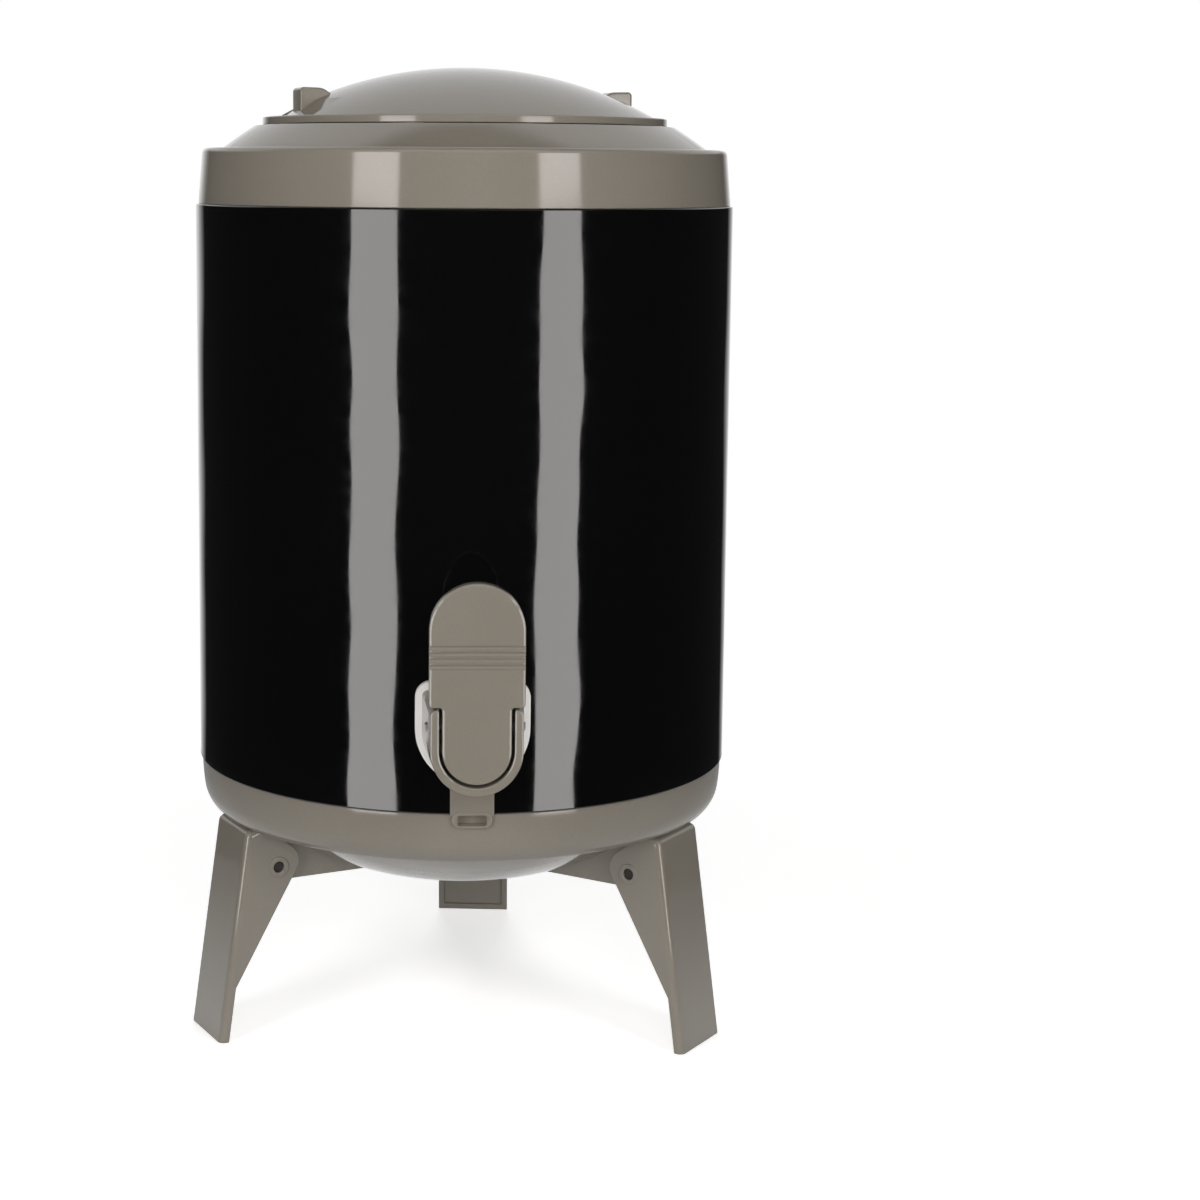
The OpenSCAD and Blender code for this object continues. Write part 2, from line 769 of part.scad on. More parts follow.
module lid_cover() {
    color(taupe) {
        difference() {
            union() {
                translate([0, 0, flange_z]) cylinder(h = lid_flange_t, r = lid_r);
                intersection() {
                    translate([0, 0, dome_z]) sphere(dome_r);
                    translate([0, 0, flange_z]) cylinder(h = dome_rise * 2, r = dome_foot_r);
                }
                translate([0, 0, skirt_bottom]) cylinder(h = lid_skirt_h + over, r = lid_skirt_r);
                for (half = [0, 180]) rotate([0, 0, fin_turn + half]) grip_fin();
            }
            intersection() {
                translate([0, 0, dome_z]) sphere(dome_r - lid_wall);
                translate([0, 0, skirt_bottom - over]) cylinder(h = shell_h, r = lid_bore_r);
            }
        }
        lug_places() wedge(skirt_bottom, skirt_bottom + lug_h, lug_r, lid_skirt_r - over, lug_deg);
        translate([0, 0, retainer_z]) cylinder(h = dome_z + dome_r - lid_wall / 2 - retainer_z, r = post_r);
    }
}

// A grip fin: a block that stands on the dome's foot, with a flat outer end and a round upper corner
module grip_fin() {
    tip_round = fin_t / 4;
    inner = fin_end_r - fin_len;
    translate([0, fin_t / 2, flange_top]) rotate([90, 0, 0]) linear_extrude(fin_t)
        polygon(concat([[inner, -lid_flange_t / 2], [fin_end_r, -lid_flange_t / 2]],
            arc([fin_end_r - tip_round, fin_h - tip_round], tip_round, 0, 90),
            [[inner, fin_h - fin_fall]]));
}

module lid_retainer() {
    color(taupe) ring(retainer_z, retainer_z + retainer_t, retainer_r, post_r);
}

module lid_plug() {
    color(white) difference() {
        union() {
            difference() {
                translate([0, 0, plug_z]) cylinder(h = plug_depth - over, r = plug_r);
                translate([0, 0, plug_z + plug_floor]) cylinder(h = plug_depth, r = plug_r - plug_wall);
            }
            translate([0, 0, plug_z]) cylinder(h = plug_depth - over, r = plug_hub_r);
        }
        translate([0, 0, plug_z - over]) cylinder(h = plug_depth + over, r = post_r + run_gap);
        rotate_extrude() translate([plug_ring_r, plug_z + plug_ring_rise])
            square(plug_ring_d, center = true);
    }
}

module lid_insulation() {
    color(foam) ring(plug_z + plug_floor, collar_top - 2 * over, plug_r - plug_wall, plug_hub_r);
}

module lid_gasket() {
    color(rubber) rotate_extrude() translate([plug_ring_r, plug_z + plug_ring_rise]) circle(d = plug_ring_d);
}

module leg(turn) {
    half = leg_w / 2;
    color(taupe) leg_place(turn) difference() {
        union() {
            for (side = [-1, 1]) leg_slab(side * (half - leg_wall / 2) - leg_wall / 2,
                side * (half - leg_wall / 2) + leg_wall / 2) leg_side();
            leg_slab(-half, half) polygon([[foot_r, 0], [leg_top_r, leg_top_z],
                [leg_top_r - leg_wall, leg_top_z], [foot_r - leg_wall, 0]]);
            leg_slab(-half, half) polygon([[foot_r, 0], [leg_face(leg_wall), leg_wall],
                [leg_face(leg_wall) - foot_depth, leg_wall], [foot_r - foot_depth, 0]]);
            leg_slab(-half, half) polygon([[leg_top_r, leg_top_z], [leg_top_r - leg_lip, leg_top_z],
                [leg_top_r - leg_lip, leg_top_z - leg_wall],
                [leg_face(leg_top_z - leg_wall), leg_top_z - leg_wall]]);
            for (side = [-1, 1]) leg_slab(side < 0 ? -half - pin_ring_h : half - leg_wall,
                side < 0 ? leg_wall - half : half + pin_ring_h)
                translate([pin_r, pin_z]) circle(pin_ring_r);
        }
        pin_line(leg_pin_r + run_gap, leg_w + 2 * pin_ring_h + over);
    }
}

// A leg's side wall: a round eye at the pin, a straight inner edge to the knee, a shallow foot
module leg_side() {
    knee = [leg_face(knee_z) - foot_depth, knee_z];
    away = eye_c - knee;
    dir = atan2(away[1], away[0]) + 90 - asin(eye_r / norm(away));
    touch = eye_c + eye_r * [cos(dir), sin(dir)];
    translate(eye_c) circle(eye_r);
    polygon([[foot_r, 0], [leg_top_r, leg_top_z], eye_c + [0, eye_r], eye_c, touch, knee,
        [foot_r - foot_depth, 0]]);
}

module leg_pin(turn) {
    color(dark_steel) leg_place(turn) pin_line(leg_pin_r, leg_w - 2 * pin_recess);
}

outer_shell();
collar();
base_cup();
inner_vessel();
vessel_floor();
vessel_shoulder();
outlet_pad();
neck_seal();
insulation_sleeve();
base_insulation();
tap_gasket();
tap_body();
tap_shank();
tap_bonnet();
tap_washer();
tap_nut();
valve_stem();
valve_seal();
valve_spring();
tap_lever();
lever_pin();
lid_cover();
lid_retainer();
lid_plug();
lid_insulation();
lid_gasket();
leg(LEG_TURNS[0]);  // leg_front_left
leg(LEG_TURNS[1]);  // leg_front_right
leg(LEG_TURNS[2]);  // leg_rear
leg_pin(LEG_TURNS[0]);  // leg_pin_front_left
leg_pin(LEG_TURNS[1]);  // leg_pin_front_right
leg_pin(LEG_TURNS[2]);  // leg_pin_rear
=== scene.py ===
"""A round insulated drink dispenser on three folding legs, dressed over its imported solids."""

import math

import bpy
from bpy.props import FloatProperty, IntProperty, PointerProperty, StringProperty
from mathutils import Matrix, Vector


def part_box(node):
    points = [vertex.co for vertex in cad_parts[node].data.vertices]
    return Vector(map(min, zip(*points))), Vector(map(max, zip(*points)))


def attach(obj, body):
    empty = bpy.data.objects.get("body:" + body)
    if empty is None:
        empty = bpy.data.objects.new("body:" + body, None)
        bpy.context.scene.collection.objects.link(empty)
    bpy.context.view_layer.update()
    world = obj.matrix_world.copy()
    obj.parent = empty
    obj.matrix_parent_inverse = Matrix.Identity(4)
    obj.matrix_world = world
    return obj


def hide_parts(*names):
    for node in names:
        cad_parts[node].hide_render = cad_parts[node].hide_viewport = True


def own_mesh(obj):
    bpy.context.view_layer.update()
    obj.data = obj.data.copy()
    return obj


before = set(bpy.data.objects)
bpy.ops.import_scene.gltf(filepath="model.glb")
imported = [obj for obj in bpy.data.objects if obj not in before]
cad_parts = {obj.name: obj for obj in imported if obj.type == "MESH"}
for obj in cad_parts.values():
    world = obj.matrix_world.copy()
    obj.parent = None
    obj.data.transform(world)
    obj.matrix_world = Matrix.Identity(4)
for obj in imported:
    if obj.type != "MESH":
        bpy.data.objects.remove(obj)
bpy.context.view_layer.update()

bl_info = {
    "name": "Drink Dispenser",
    "version": (1, 0, 0),
    "blender": (4, 5, 0),
    "location": "3D View > Sidebar > Dispenser",
    "description": "Models the pieces of an insulated drink dispenser over its solids",
    "category": "Object",
}

SHELL_LOW, SHELL_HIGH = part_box("outer_shell")
COLLAR_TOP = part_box("collar")[1].z
LID_LOW, LID_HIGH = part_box("lid_cover")
GASKET_LOW, GASKET_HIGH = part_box("tap_gasket")
TAP_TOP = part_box("tap_body")[1].z
LEVER_LOW, LEVER_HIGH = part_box("tap_lever")
PIN_LOW, PIN_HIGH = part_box("lever_pin")
SPRING_LOW, SPRING_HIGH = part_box("valve_spring")


def mm(length):
    """Metres of a length in millimetres."""
    return length * 0.001


# Places that more than one piece is built on
LEG_PIN = Vector((mm(82.5), mm(64.0)))  # In a leg's own plane: distance from the body's axis, and height
PIVOT_Y, PIVOT_Z = mm(-119.0), mm(133.2)  # The lever's pin, which lies along X
SPOUT_Y = mm(-108.5)
SKIRT_INSET = mm(0.8)  # The base's skirt stands back from the shell by this
SEAM_STEPS = 240  # Steps round the large turned pieces
LUGS = [math.radians(90 + 120 * i) for i in range(3)]  # Directions of the lid's lugs and the collar's notches
SIDES = (-1, 1)


# Sizes and colours that a user would change

class BodySizes(bpy.types.PropertyGroup):
    """Sizes of the shell, the collar and the base."""
    radius: FloatProperty(name="Shell radius", description="Outside radius of the black shell",
                          default=SHELL_HIGH.x, unit='LENGTH')
    shell_wall: FloatProperty(name="Shell wall", description="Thickness of the black shell",
                              default=mm(2.0), unit='LENGTH')
    shell_edge: FloatProperty(name="Shell edge", description="Round on the ends of the black shell",
                              default=mm(0.6), unit='LENGTH')
    step_height: FloatProperty(name="Collar step", description="Height of the collar's step above the shell",
                               default=mm(20.4), unit='LENGTH')
    step_round: FloatProperty(name="Step round", description="Round on the collar's step",
                              default=mm(2.0), unit='LENGTH')
    bowl_radius: FloatProperty(name="Bowl radius", description="Radius of the sphere under the base",
                               default=mm(140.0), unit='LENGTH')
    bowl_drop: FloatProperty(name="Bowl drop", description="Drop of the base's lowest place below the rim",
                             default=mm(47.6), unit='LENGTH')
    skirt_round: FloatProperty(name="Skirt round", description="Round under the base's upright skirt",
                               default=mm(11.8), unit='LENGTH')


class LidSizes(bpy.types.PropertyGroup):
    """Sizes of the lid."""
    radius: FloatProperty(name="Lid radius", description="Radius of the lid's flange",
                          default=mm(75.2), unit='LENGTH')
    flange: FloatProperty(name="Flange", description="Thickness of the lid's flange",
                          default=mm(2.8), unit='LENGTH')
    dome_foot: FloatProperty(name="Dome foot", description="Radius where the dome meets the flange",
                             default=mm(71.0), unit='LENGTH')
    fin_turn: FloatProperty(name="Fin turn", description="Turn of the grip fins about the lid's axis",
                            default=math.radians(15.5), subtype='ANGLE')
    fin_height: FloatProperty(name="Fin height", description="Height of a grip fin above the flange",
                              default=mm(11.0), unit='LENGTH')
    fin_thickness: FloatProperty(name="Fin thickness", description="Thickness of a grip fin",
                                 default=mm(12.0), unit='LENGTH')


class TapSizes(bpy.types.PropertyGroup):
    """Sizes of the tap, its lever and its gasket."""
    height: FloatProperty(name="Tap height", description="Height of the tap's middle above the ground",
                          default=mm(128.2), unit='LENGTH')
    front_width: FloatProperty(name="Front width", description="Width of the tap's housing at its mouth",
                               default=mm(30.8), unit='LENGTH')
    wall: FloatProperty(name="Housing wall", description="Wall of the housing round the lever",
                        default=mm(2.9), unit='LENGTH')
    lever_thickness: FloatProperty(name="Lever thickness", description="Thickness of the lever's plate",
                                   default=mm(4.5), unit='LENGTH')
    grooves: IntProperty(name="Grooves", description="Number of grip grooves across the lever",
                         default=4, min=0, max=6)


class LegSizes(bpy.types.PropertyGroup):
    """Sizes of the three folding legs."""
    width: FloatProperty(name="Leg width", description="Width of a leg's channel",
                         default=mm(29.6), unit='LENGTH')
    wall: FloatProperty(name="Leg wall", description="Wall of a leg's channel",
                        default=mm(2.5), unit='LENGTH')
    turn: FloatProperty(name="Leg turn", description="Turn of the legs about the body's axis from the tap",
                        default=math.radians(-5.2), subtype='ANGLE')
    edge: FloatProperty(name="Leg edge", description="Round on a leg's smaller edges",
                        default=mm(0.4), unit='LENGTH')
    shoulder: FloatProperty(name="Leg shoulder", description="Round on the long edges of a leg's front",
                            default=mm(2.4), unit='LENGTH')


class Finishes(bpy.types.PropertyGroup):
    """Colours of the pieces, as sRGB hex values."""
    grey: StringProperty(name="Grey plastic", description="Colour of the collar, base, lid, tap and legs",
                         default="#7f7a70")
    black: StringProperty(name="Black plastic", description="Colour of the shell", default="#070708")
    white: StringProperty(name="White plastic", description="Colour of the vessel and the plug",
                          default="#eeede8")
    silicone: StringProperty(name="White silicone", description="Colour of the tap's gasket",
                             default="#f0efec")
    rubber: StringProperty(name="Seal rubber", description="Colour of the sealing rings", default="#cfccc5")
    foam: StringProperty(name="Foam", description="Colour of the insulation", default="#e4dcc2")
    steel: StringProperty(name="Steel", description="Colour of the lever's pin and the spring",
                          default="#c3c4c5")
    dark_steel: StringProperty(name="Dark steel", description="Colour of the legs' pins", default="#2b2826")


# Outlines

def arc(across, up, radius, start, end, steps):
    """Points on an arc about a middle, from one angle in degrees to another."""
    return [(across + radius * math.cos(math.radians(start + (end - start) * i / steps)),
             up + radius * math.sin(math.radians(start + (end - start) * i / steps)))
            for i in range(steps + 1)]


def bowed(start, pull, end, steps):
    """Points on a curve from start to end that one point pulls out."""
    points = []
    for i in range(steps + 1):
        t = i / steps
        points.append(tuple((1 - t) ** 2 * a + 2 * t * (1 - t) * b + t * t * c
                            for a, b, c in zip(start, pull, end)))
    return points


def rounded(corners, steps=5):
    """Points of a closed outline, each of whose corners (across, up, radius) is rounded."""
    points = []
    for i, (across, up, radius) in enumerate(corners):
        corner = Vector((across, up))
        if radius <= 0:
            points.append((across, up))
            continue
        before = (Vector(corners[i - 1][:2]) - corner).normalized()
        after = (Vector(corners[(i + 1) % len(corners)][:2]) - corner).normalized()
        half = before.angle(after) / 2
        middle = corner + (before + after).normalized() * (radius / math.sin(half))
        first = corner + before * (radius / math.tan(half)) - middle
        last = corner + after * (radius / math.tan(half)) - middle
        start = math.atan2(first.y, first.x)
        sweep = math.remainder(math.atan2(last.y, last.x) - start, math.tau)
        points += [(middle.x + radius * math.cos(start + sweep * k / steps),
                    middle.y + radius * math.sin(start + sweep * k / steps)) for k in range(steps + 1)]
    return points


def plain(points):
    """An outline's points as corners that stay sharp."""
    return [(across, up, 0.0) for across, up in points]


# Modelling steps

def pick(*pieces):
    """Leave edit mode and select these pieces alone, the first one active."""
    if bpy.context.mode != 'OBJECT':
        bpy.ops.object.mode_set(mode='OBJECT')
    bpy.ops.object.select_all(action='DESELECT')
    for piece in pieces:
        piece.select_set(True)
    if pieces:
        bpy.context.view_layer.objects.active = pieces[0]


def trace(name, points, closed=True):
    """Start a piece as one vertex and extrude it along a line of points."""
    pick()
    bpy.ops.mesh.primitive_plane_add(size=mm(1))
    piece = bpy.context.object
    piece.name = piece.data.name = name
    bpy.ops.object.mode_set(mode='EDIT')
    bpy.ops.mesh.select_mode(type='VERT')
    bpy.ops.mesh.select_all(action='SELECT')
    bpy.ops.mesh.merge(type='CENTER')
    bpy.ops.transform.translate(value=points[0])
    path = points + points[:1] if closed else points
    for here, there in zip(path, path[1:]):
        bpy.ops.mesh.extrude_region_move(TRANSFORM_OT_translate={"value": Vector(there) - Vector(here)})
    bpy.ops.mesh.select_all(action='SELECT')
    bpy.ops.mesh.remove_doubles(threshold=mm(0.002))
    return piece


def close_up(piece):
    """Merge doubles, turn the faces outwards and leave edit mode."""
    bpy.ops.mesh.select_all(action='SELECT')
    bpy.ops.mesh.remove_doubles(threshold=mm(0.002))
    bpy.ops.mesh.dissolve_degenerate(threshold=mm(0.001))
    bpy.ops.mesh.select_all(action='SELECT')
    bpy.ops.mesh.normals_make_consistent(inside=False)
    bpy.ops.object.mode_set(mode='OBJECT')
    return piece


def turned(name, section, steps=180):
    """Spin a half-section of (radius, height) all the way round the upright axis."""
    on_axis = section[0][0] == 0 and section[-1][0] == 0
    piece = trace(name, [(r, 0.0, z) for r, z in section], closed=not on_axis)
    bpy.ops.mesh.spin(steps=steps, angle=math.tau, center=(0, 0, 0), axis=(0, 0, 1))
    return close_up(piece)


def swept(name, section, middle, sweep, steps=12):
    """Spin a closed section of (radius, height) through an angle that is centred on a direction."""
    start = middle - sweep / 2
    piece = trace(name, [(r * math.cos(start), r * math.sin(start), z) for r, z in section])
    bpy.ops.mesh.edge_face_add()
    bpy.ops.mesh.spin(steps=steps, angle=sweep, center=(0, 0, 0), axis=(0, 0, -1))
    return close_up(piece)


def slab(name, outline, near, far, spread=None):
    """Extrude an outline of (x, z) from one y to another; spread scales the far face about a point."""
    piece = trace(name, [(x, near, z) for x, z in outline])
    bpy.ops.mesh.edge_face_add()
    bpy.ops.mesh.extrude_region_move(TRANSFORM_OT_translate={"value": (0, far - near, 0)})
    if spread:
        scale, about = spread
        bpy.ops.transform.resize(value=scale, center_override=about)
    return close_up(piece)


def rod(name, start, end, radius, sides=48):
    """A round bar between two points, with sharp ends."""
    span = Vector(end) - Vector(start)
    pick()
    bpy.ops.mesh.primitive_cylinder_add(vertices=sides, radius=radius, depth=span.length)
    piece = bpy.context.object
    piece.name = piece.data.name = name
    piece.matrix_world = (Matrix.Translation((Vector(start) + Vector(end)) / 2)
                          @ span.to_track_quat('Z', 'Y').to_matrix().to_4x4())
    bpy.ops.object.transform_apply(location=True, rotation=True, scale=True)
    return piece


def modify(piece, kind, **settings):
    """Add one modifier with its settings and apply it."""
    pick(piece)
    modifier = piece.modifiers.new(kind.title(), kind)
    for key, value in settings.items():
        setattr(modifier, key, value)
    bpy.ops.object.modifier_apply(modifier=modifier.name)
    return piece


def cut(piece, *tools, operation='DIFFERENCE'):
    """Cut a piece with other pieces, or join or cross it with them, and drop those."""
    for tool in tools:
        modify(piece, 'BOOLEAN', operation=operation, solver='EXACT', object=tool)
        bpy.data.meshes.remove(tool.data)
    return piece


def soften(piece, width, segments=3, angle=35, clamp=True):
    """Round a piece's sharp edges; without the clamp, short edges don't make every round smaller."""
    return modify(piece, 'BEVEL', width=width, segments=segments, limit_method='ANGLE', use_clamp_overlap=clamp,
                  angle_limit=math.radians(angle), miter_outer='MITER_ARC')


def weigh(piece, share, test):
    """Give the sharp edges whose two ends pass a test this share of the next weighted bevel."""
    pick(piece)
    bpy.ops.object.mode_set(mode='EDIT')
    bpy.ops.mesh.select_mode(type='EDGE')
    bpy.ops.mesh.select_all(action='DESELECT')
    bpy.ops.mesh.edges_select_sharp(sharpness=math.radians(35))
    bpy.ops.object.mode_set(mode='OBJECT')
    mesh = piece.data
    weights = (mesh.attributes.get("bevel_weight_edge")
               or mesh.attributes.new("bevel_weight_edge", 'FLOAT', 'EDGE'))
    for edge in mesh.edges:
        if edge.select and test(*(mesh.vertices[i].co for i in edge.vertices)):
            weights.data[edge.index].value = share


def round_weighed(piece, width, segments=5):
    """Round a piece's edges, each by its own share of a width."""
    modify(piece, 'BEVEL', width=width, segments=segments, limit_method='WEIGHT', miter_outer='MITER_ARC',
           use_clamp_overlap=False)
    piece.data.attributes.remove(piece.data.attributes["bevel_weight_edge"])
    return piece


def twin(piece, name, angle=0.0, shift=(0, 0, 0)):
    """A copy of a piece with its own mesh, turned about the body's axis and then shifted."""
    copy = piece.copy()
    copy.data = piece.data.copy()
    copy.name = copy.data.name = name
    bpy.context.collection.objects.link(copy)
    pick(copy)
    copy.rotation_euler.z = angle
    copy.location = shift
    bpy.ops.object.transform_apply(location=True, rotation=True, scale=False)
    return copy


def join(*pieces):
    """Join pieces into the first one."""
    pick(*pieces)
    bpy.ops.object.join()
    return pieces[0]


def place(piece, material, body, slot, *nodes, angle=35):
    """Shade a finished piece, give it its material and body, and hide the solids that it stands for; the slot is
    not used.
    """
    pick(piece)
    bpy.ops.object.shade_smooth_by_angle(angle=math.radians(angle))
    # Large faces keep their own direction, so that mirrored lamps run straight
    modify(piece, 'WEIGHTED_NORMAL', keep_sharp=True, weight=100)
    piece.data.materials.clear()
    piece.data.materials.append(material)
    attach(piece, body)
    if nodes:
        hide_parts(*nodes)


def dress(material, *names):
    """Give solids that stay as they are a procedural material."""
    for name in names:
        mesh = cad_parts[name].data
        mesh.materials.clear()
        mesh.materials.append(material)


# Materials

def linear(hexcode):
    """Linear colour of an sRGB hex value."""
    channels = [int(hexcode[i:i + 2], 16) / 255 for i in (1, 3, 5)]
    return tuple(c / 12.92 if c <= 0.04045 else ((c + 0.055) / 1.055) ** 2.4 for c in channels) + (1.0,)


def shade(hexcode, factor):
    """Linear colour of an sRGB hex value, made lighter or darker."""
    return tuple(c * factor for c in linear(hexcode)[:3]) + (1.0,)


def per_mm(size):
    """Texture scale that makes a pattern repeat about every so many millimetres."""
    return 1000.0 / size


def node(tree, kind, inputs=None, **settings):
    """Add a node, set its properties, and fill its sockets with values or links."""
    new = tree.nodes.new(kind)
    for key, value in settings.items():
        setattr(new, key, value)
    for socket, value in (inputs or {}).items():
        if isinstance(value, bpy.types.NodeSocket):
            tree.links.new(value, new.inputs[socket])
        else:
            new.inputs[socket].default_value = value
    return new


def blank(name):
    """A new material, its empty node tree and the place on the piece that its patterns read."""
    material = bpy.data.materials.new(name)
    material.use_nodes = True
    tree = material.node_tree
    tree.nodes.clear()
    return material, tree, node(tree, 'ShaderNodeTexCoord').outputs['Object']


def made_once(make):
    """Let a finish be made when it is first used, and found by its name after that."""
    def find(finish):
        return bpy.data.materials.get(make.__name__) or make(finish)
    return find


@made_once
def moulded_grey_abs(finish):
    """ABS from a satin-polished mould: even warm grey with a sharp low gloss and faint flow marks."""
    material, tree, place_of = blank("moulded_grey_abs")
    # Flow marks of the moulding, about 45 mm apart, and pigment specks drawn at 0.9 mm so that they show
    flow = node(tree, 'ShaderNodeTexNoise', {'Vector': place_of, 'Scale': per_mm(45), 'Detail': 2.0})
    specks = node(tree, 'ShaderNodeTexNoise', {'Vector': place_of, 'Scale': per_mm(0.9), 'Detail': 2.0})
    blend = node(tree, 'ShaderNodeMath', {0: flow.outputs['Fac'], 1: specks.outputs['Fac']}, operation='ADD')
    tint = node(tree, 'ShaderNodeMapRange', {'Value': blend.outputs[0], 'From Min': 0.6, 'From Max': 1.4,
                                             'To Min': 0.0, 'To Max': 1.0})
    colour = node(tree, 'ShaderNodeMix', {'Factor': tint.outputs[0], 'A': shade(finish.grey, 0.95),
                                          'B': shade(finish.grey, 1.05)}, data_type='RGBA')
    gloss = node(tree, 'ShaderNodeMapRange', {'Value': flow.outputs['Fac'], 'From Min': 0.3, 'From Max': 0.7,
                                              'To Min': 0.08, 'To Max': 0.12})
    ripple = node(tree, 'ShaderNodeBump', {'Height': specks.outputs['Fac'], 'Strength': 0.06,
                                           'Distance': mm(0.05)})
    face = node(tree, 'ShaderNodeBsdfPrincipled', {
        'Base Color': colour.outputs['Result'], 'Roughness': gloss.outputs[0], 'IOR': 1.53,
        'Normal': ripple.outputs[0]})
    node(tree, 'ShaderNodeOutputMaterial', {'Surface': face.outputs[0]})
    return material


@made_once
def polished_black_abs(finish):
    """ABS from a mirror-polished mould: deep black with clear reflections that waver a little."""
    material, tree, place_of = blank("polished_black_abs")
    # The wall's slow wave, about 50 mm long, and a haze of wiping marks about 6 mm across
    wave = node(tree, 'ShaderNodeTexNoise', {'Vector': place_of, 'Scale': per_mm(50), 'Detail': 1.0})
    haze = node(tree, 'ShaderNodeTexNoise', {'Vector': place_of, 'Scale': per_mm(6), 'Detail': 4.0})
    colour = node(tree, 'ShaderNodeMix', {'Factor': haze.outputs['Fac'], 'A': shade(finish.black, 0.85),
                                          'B': shade(finish.black, 1.15)}, data_type='RGBA')
    gloss = node(tree, 'ShaderNodeMapRange', {'Value': haze.outputs['Fac'], 'From Min': 0.3, 'From Max': 0.7,
                                              'To Min': 0.04, 'To Max': 0.08})
    ripple = node(tree, 'ShaderNodeBump', {'Height': wave.outputs['Fac'], 'Strength': 0.5,
                                           'Distance': mm(1.7)})
    face = node(tree, 'ShaderNodeBsdfPrincipled', {
        'Base Color': colour.outputs['Result'], 'Roughness': gloss.outputs[0], 'IOR': 1.53,
        'Normal': ripple.outputs[0]})
    node(tree, 'ShaderNodeOutputMaterial', {'Surface': face.outputs[0]})
    return material


@made_once
def white_silicone(finish):
    """Moulded silicone: soft white with a dull sheen, a little light passing into its edges."""
    material, tree, place_of = blank("white_silicone")
    # Powdery bloom, about 3 mm across
    bloom = node(tree, 'ShaderNodeTexNoise', {'Vector': place_of, 'Scale': per_mm(3), 'Detail': 3.0})
    colour = node(tree, 'ShaderNodeMix', {'Factor': bloom.outputs['Fac'], 'A': shade(finish.silicone, 0.94),
                                          'B': shade(finish.silicone, 1.0)}, data_type='RGBA')
    dull = node(tree, 'ShaderNodeMapRange', {'Value': bloom.outputs['Fac'], 'To Min': 0.42, 'To Max': 0.58})
    face = node(tree, 'ShaderNodeBsdfPrincipled', {
        'Base Color': colour.outputs['Result'], 'Roughness': dull.outputs[0], 'IOR': 1.41})
    node(tree, 'ShaderNodeOutputMaterial', {'Surface': face.outputs[0]})
    return material


@made_once
def white_polypropylene(finish):
    """Moulded polypropylene: waxy white with a broad sheen and faint flow marks."""
    material, tree, place_of = blank("white_polypropylene")
    # Flow marks, about 25 mm apart
    flow = node(tree, 'ShaderNodeTexNoise', {'Vector': place_of, 'Scale': per_mm(25), 'Detail': 3.0})
    colour = node(tree, 'ShaderNodeMix', {'Factor': flow.outputs['Fac'], 'A': shade(finish.white, 0.95),
                                          'B': shade(finish.white, 1.0)}, data_type='RGBA')
    sheen = node(tree, 'ShaderNodeMapRange', {'Value': flow.outputs['Fac'], 'To Min': 0.26, 'To Max': 0.36})
    face = node(tree, 'ShaderNodeBsdfPrincipled', {
        'Base Color': colour.outputs['Result'], 'Roughness': sheen.outputs[0], 'IOR': 1.49})
    node(tree, 'ShaderNodeOutputMaterial', {'Surface': face.outputs[0]})
    return material


@made_once
def seal_rubber(finish):
    """Pressed nitrile rubber: pale grey, matt, with a fine powdery mottle."""
    material, tree, place_of = blank("seal_rubber")
    # Talc mottle, about 1.2 mm across
    talc = node(tree, 'ShaderNodeTexNoise', {'Vector': place_of, 'Scale': per_mm(1.2), 'Detail': 3.0})
    colour = node(tree, 'ShaderNodeMix', {'Factor': talc.outputs['Fac'], 'A': shade(finish.rubber, 0.9),
                                          'B': shade(finish.rubber, 1.05)}, data_type='RGBA')
    grain = node(tree, 'ShaderNodeBump', {'Height': talc.outputs['Fac'], 'Strength': 0.2,
                                          'Distance': mm(0.05)})
    dull = node(tree, 'ShaderNodeMapRange', {'Value': talc.outputs['Fac'], 'To Min': 0.55, 'To Max': 0.75})
    face = node(tree, 'ShaderNodeBsdfPrincipled', {
        'Base Color': colour.outputs['Result'], 'Roughness': dull.outputs[0], 'IOR': 1.52,
        'Normal': grain.outputs[0]})
    node(tree, 'ShaderNodeOutputMaterial', {'Surface': face.outputs[0]})
    return material


@made_once
def rigid_foam(finish):
    """Poured polyurethane foam: cream, matt and dry, with open cells at its skin."""
    material, tree, place_of = blank("rigid_foam")
    # Cells of the foam, drawn at 1.6 mm so that they show
    cells = node(tree, 'ShaderNodeTexVoronoi', {'Vector': place_of, 'Scale': per_mm(1.6)})
    # The colour is darkest at the cells' middles, where the bump sinks into pits: painted shade in the hollows
    colour = node(tree, 'ShaderNodeMix', {'Factor': cells.outputs['Distance'], 'A': shade(finish.foam, 0.85),
                                          'B': shade(finish.foam, 1.05)}, data_type='RGBA')
    pits = node(tree, 'ShaderNodeBump', {'Height': cells.outputs['Distance'], 'Strength': 0.5,
                                         'Distance': mm(0.3)})
    dry = node(tree, 'ShaderNodeMapRange', {'Value': cells.outputs['Distance'], 'To Min': 0.85, 'To Max': 0.97})
    face = node(tree, 'ShaderNodeBsdfPrincipled', {
        'Base Color': colour.outputs['Result'], 'Roughness': dry.outputs[0], 'IOR': 1.45,
        'Normal': pits.outputs[0]})
    node(tree, 'ShaderNodeOutputMaterial', {'Surface': face.outputs[0]})
    return material


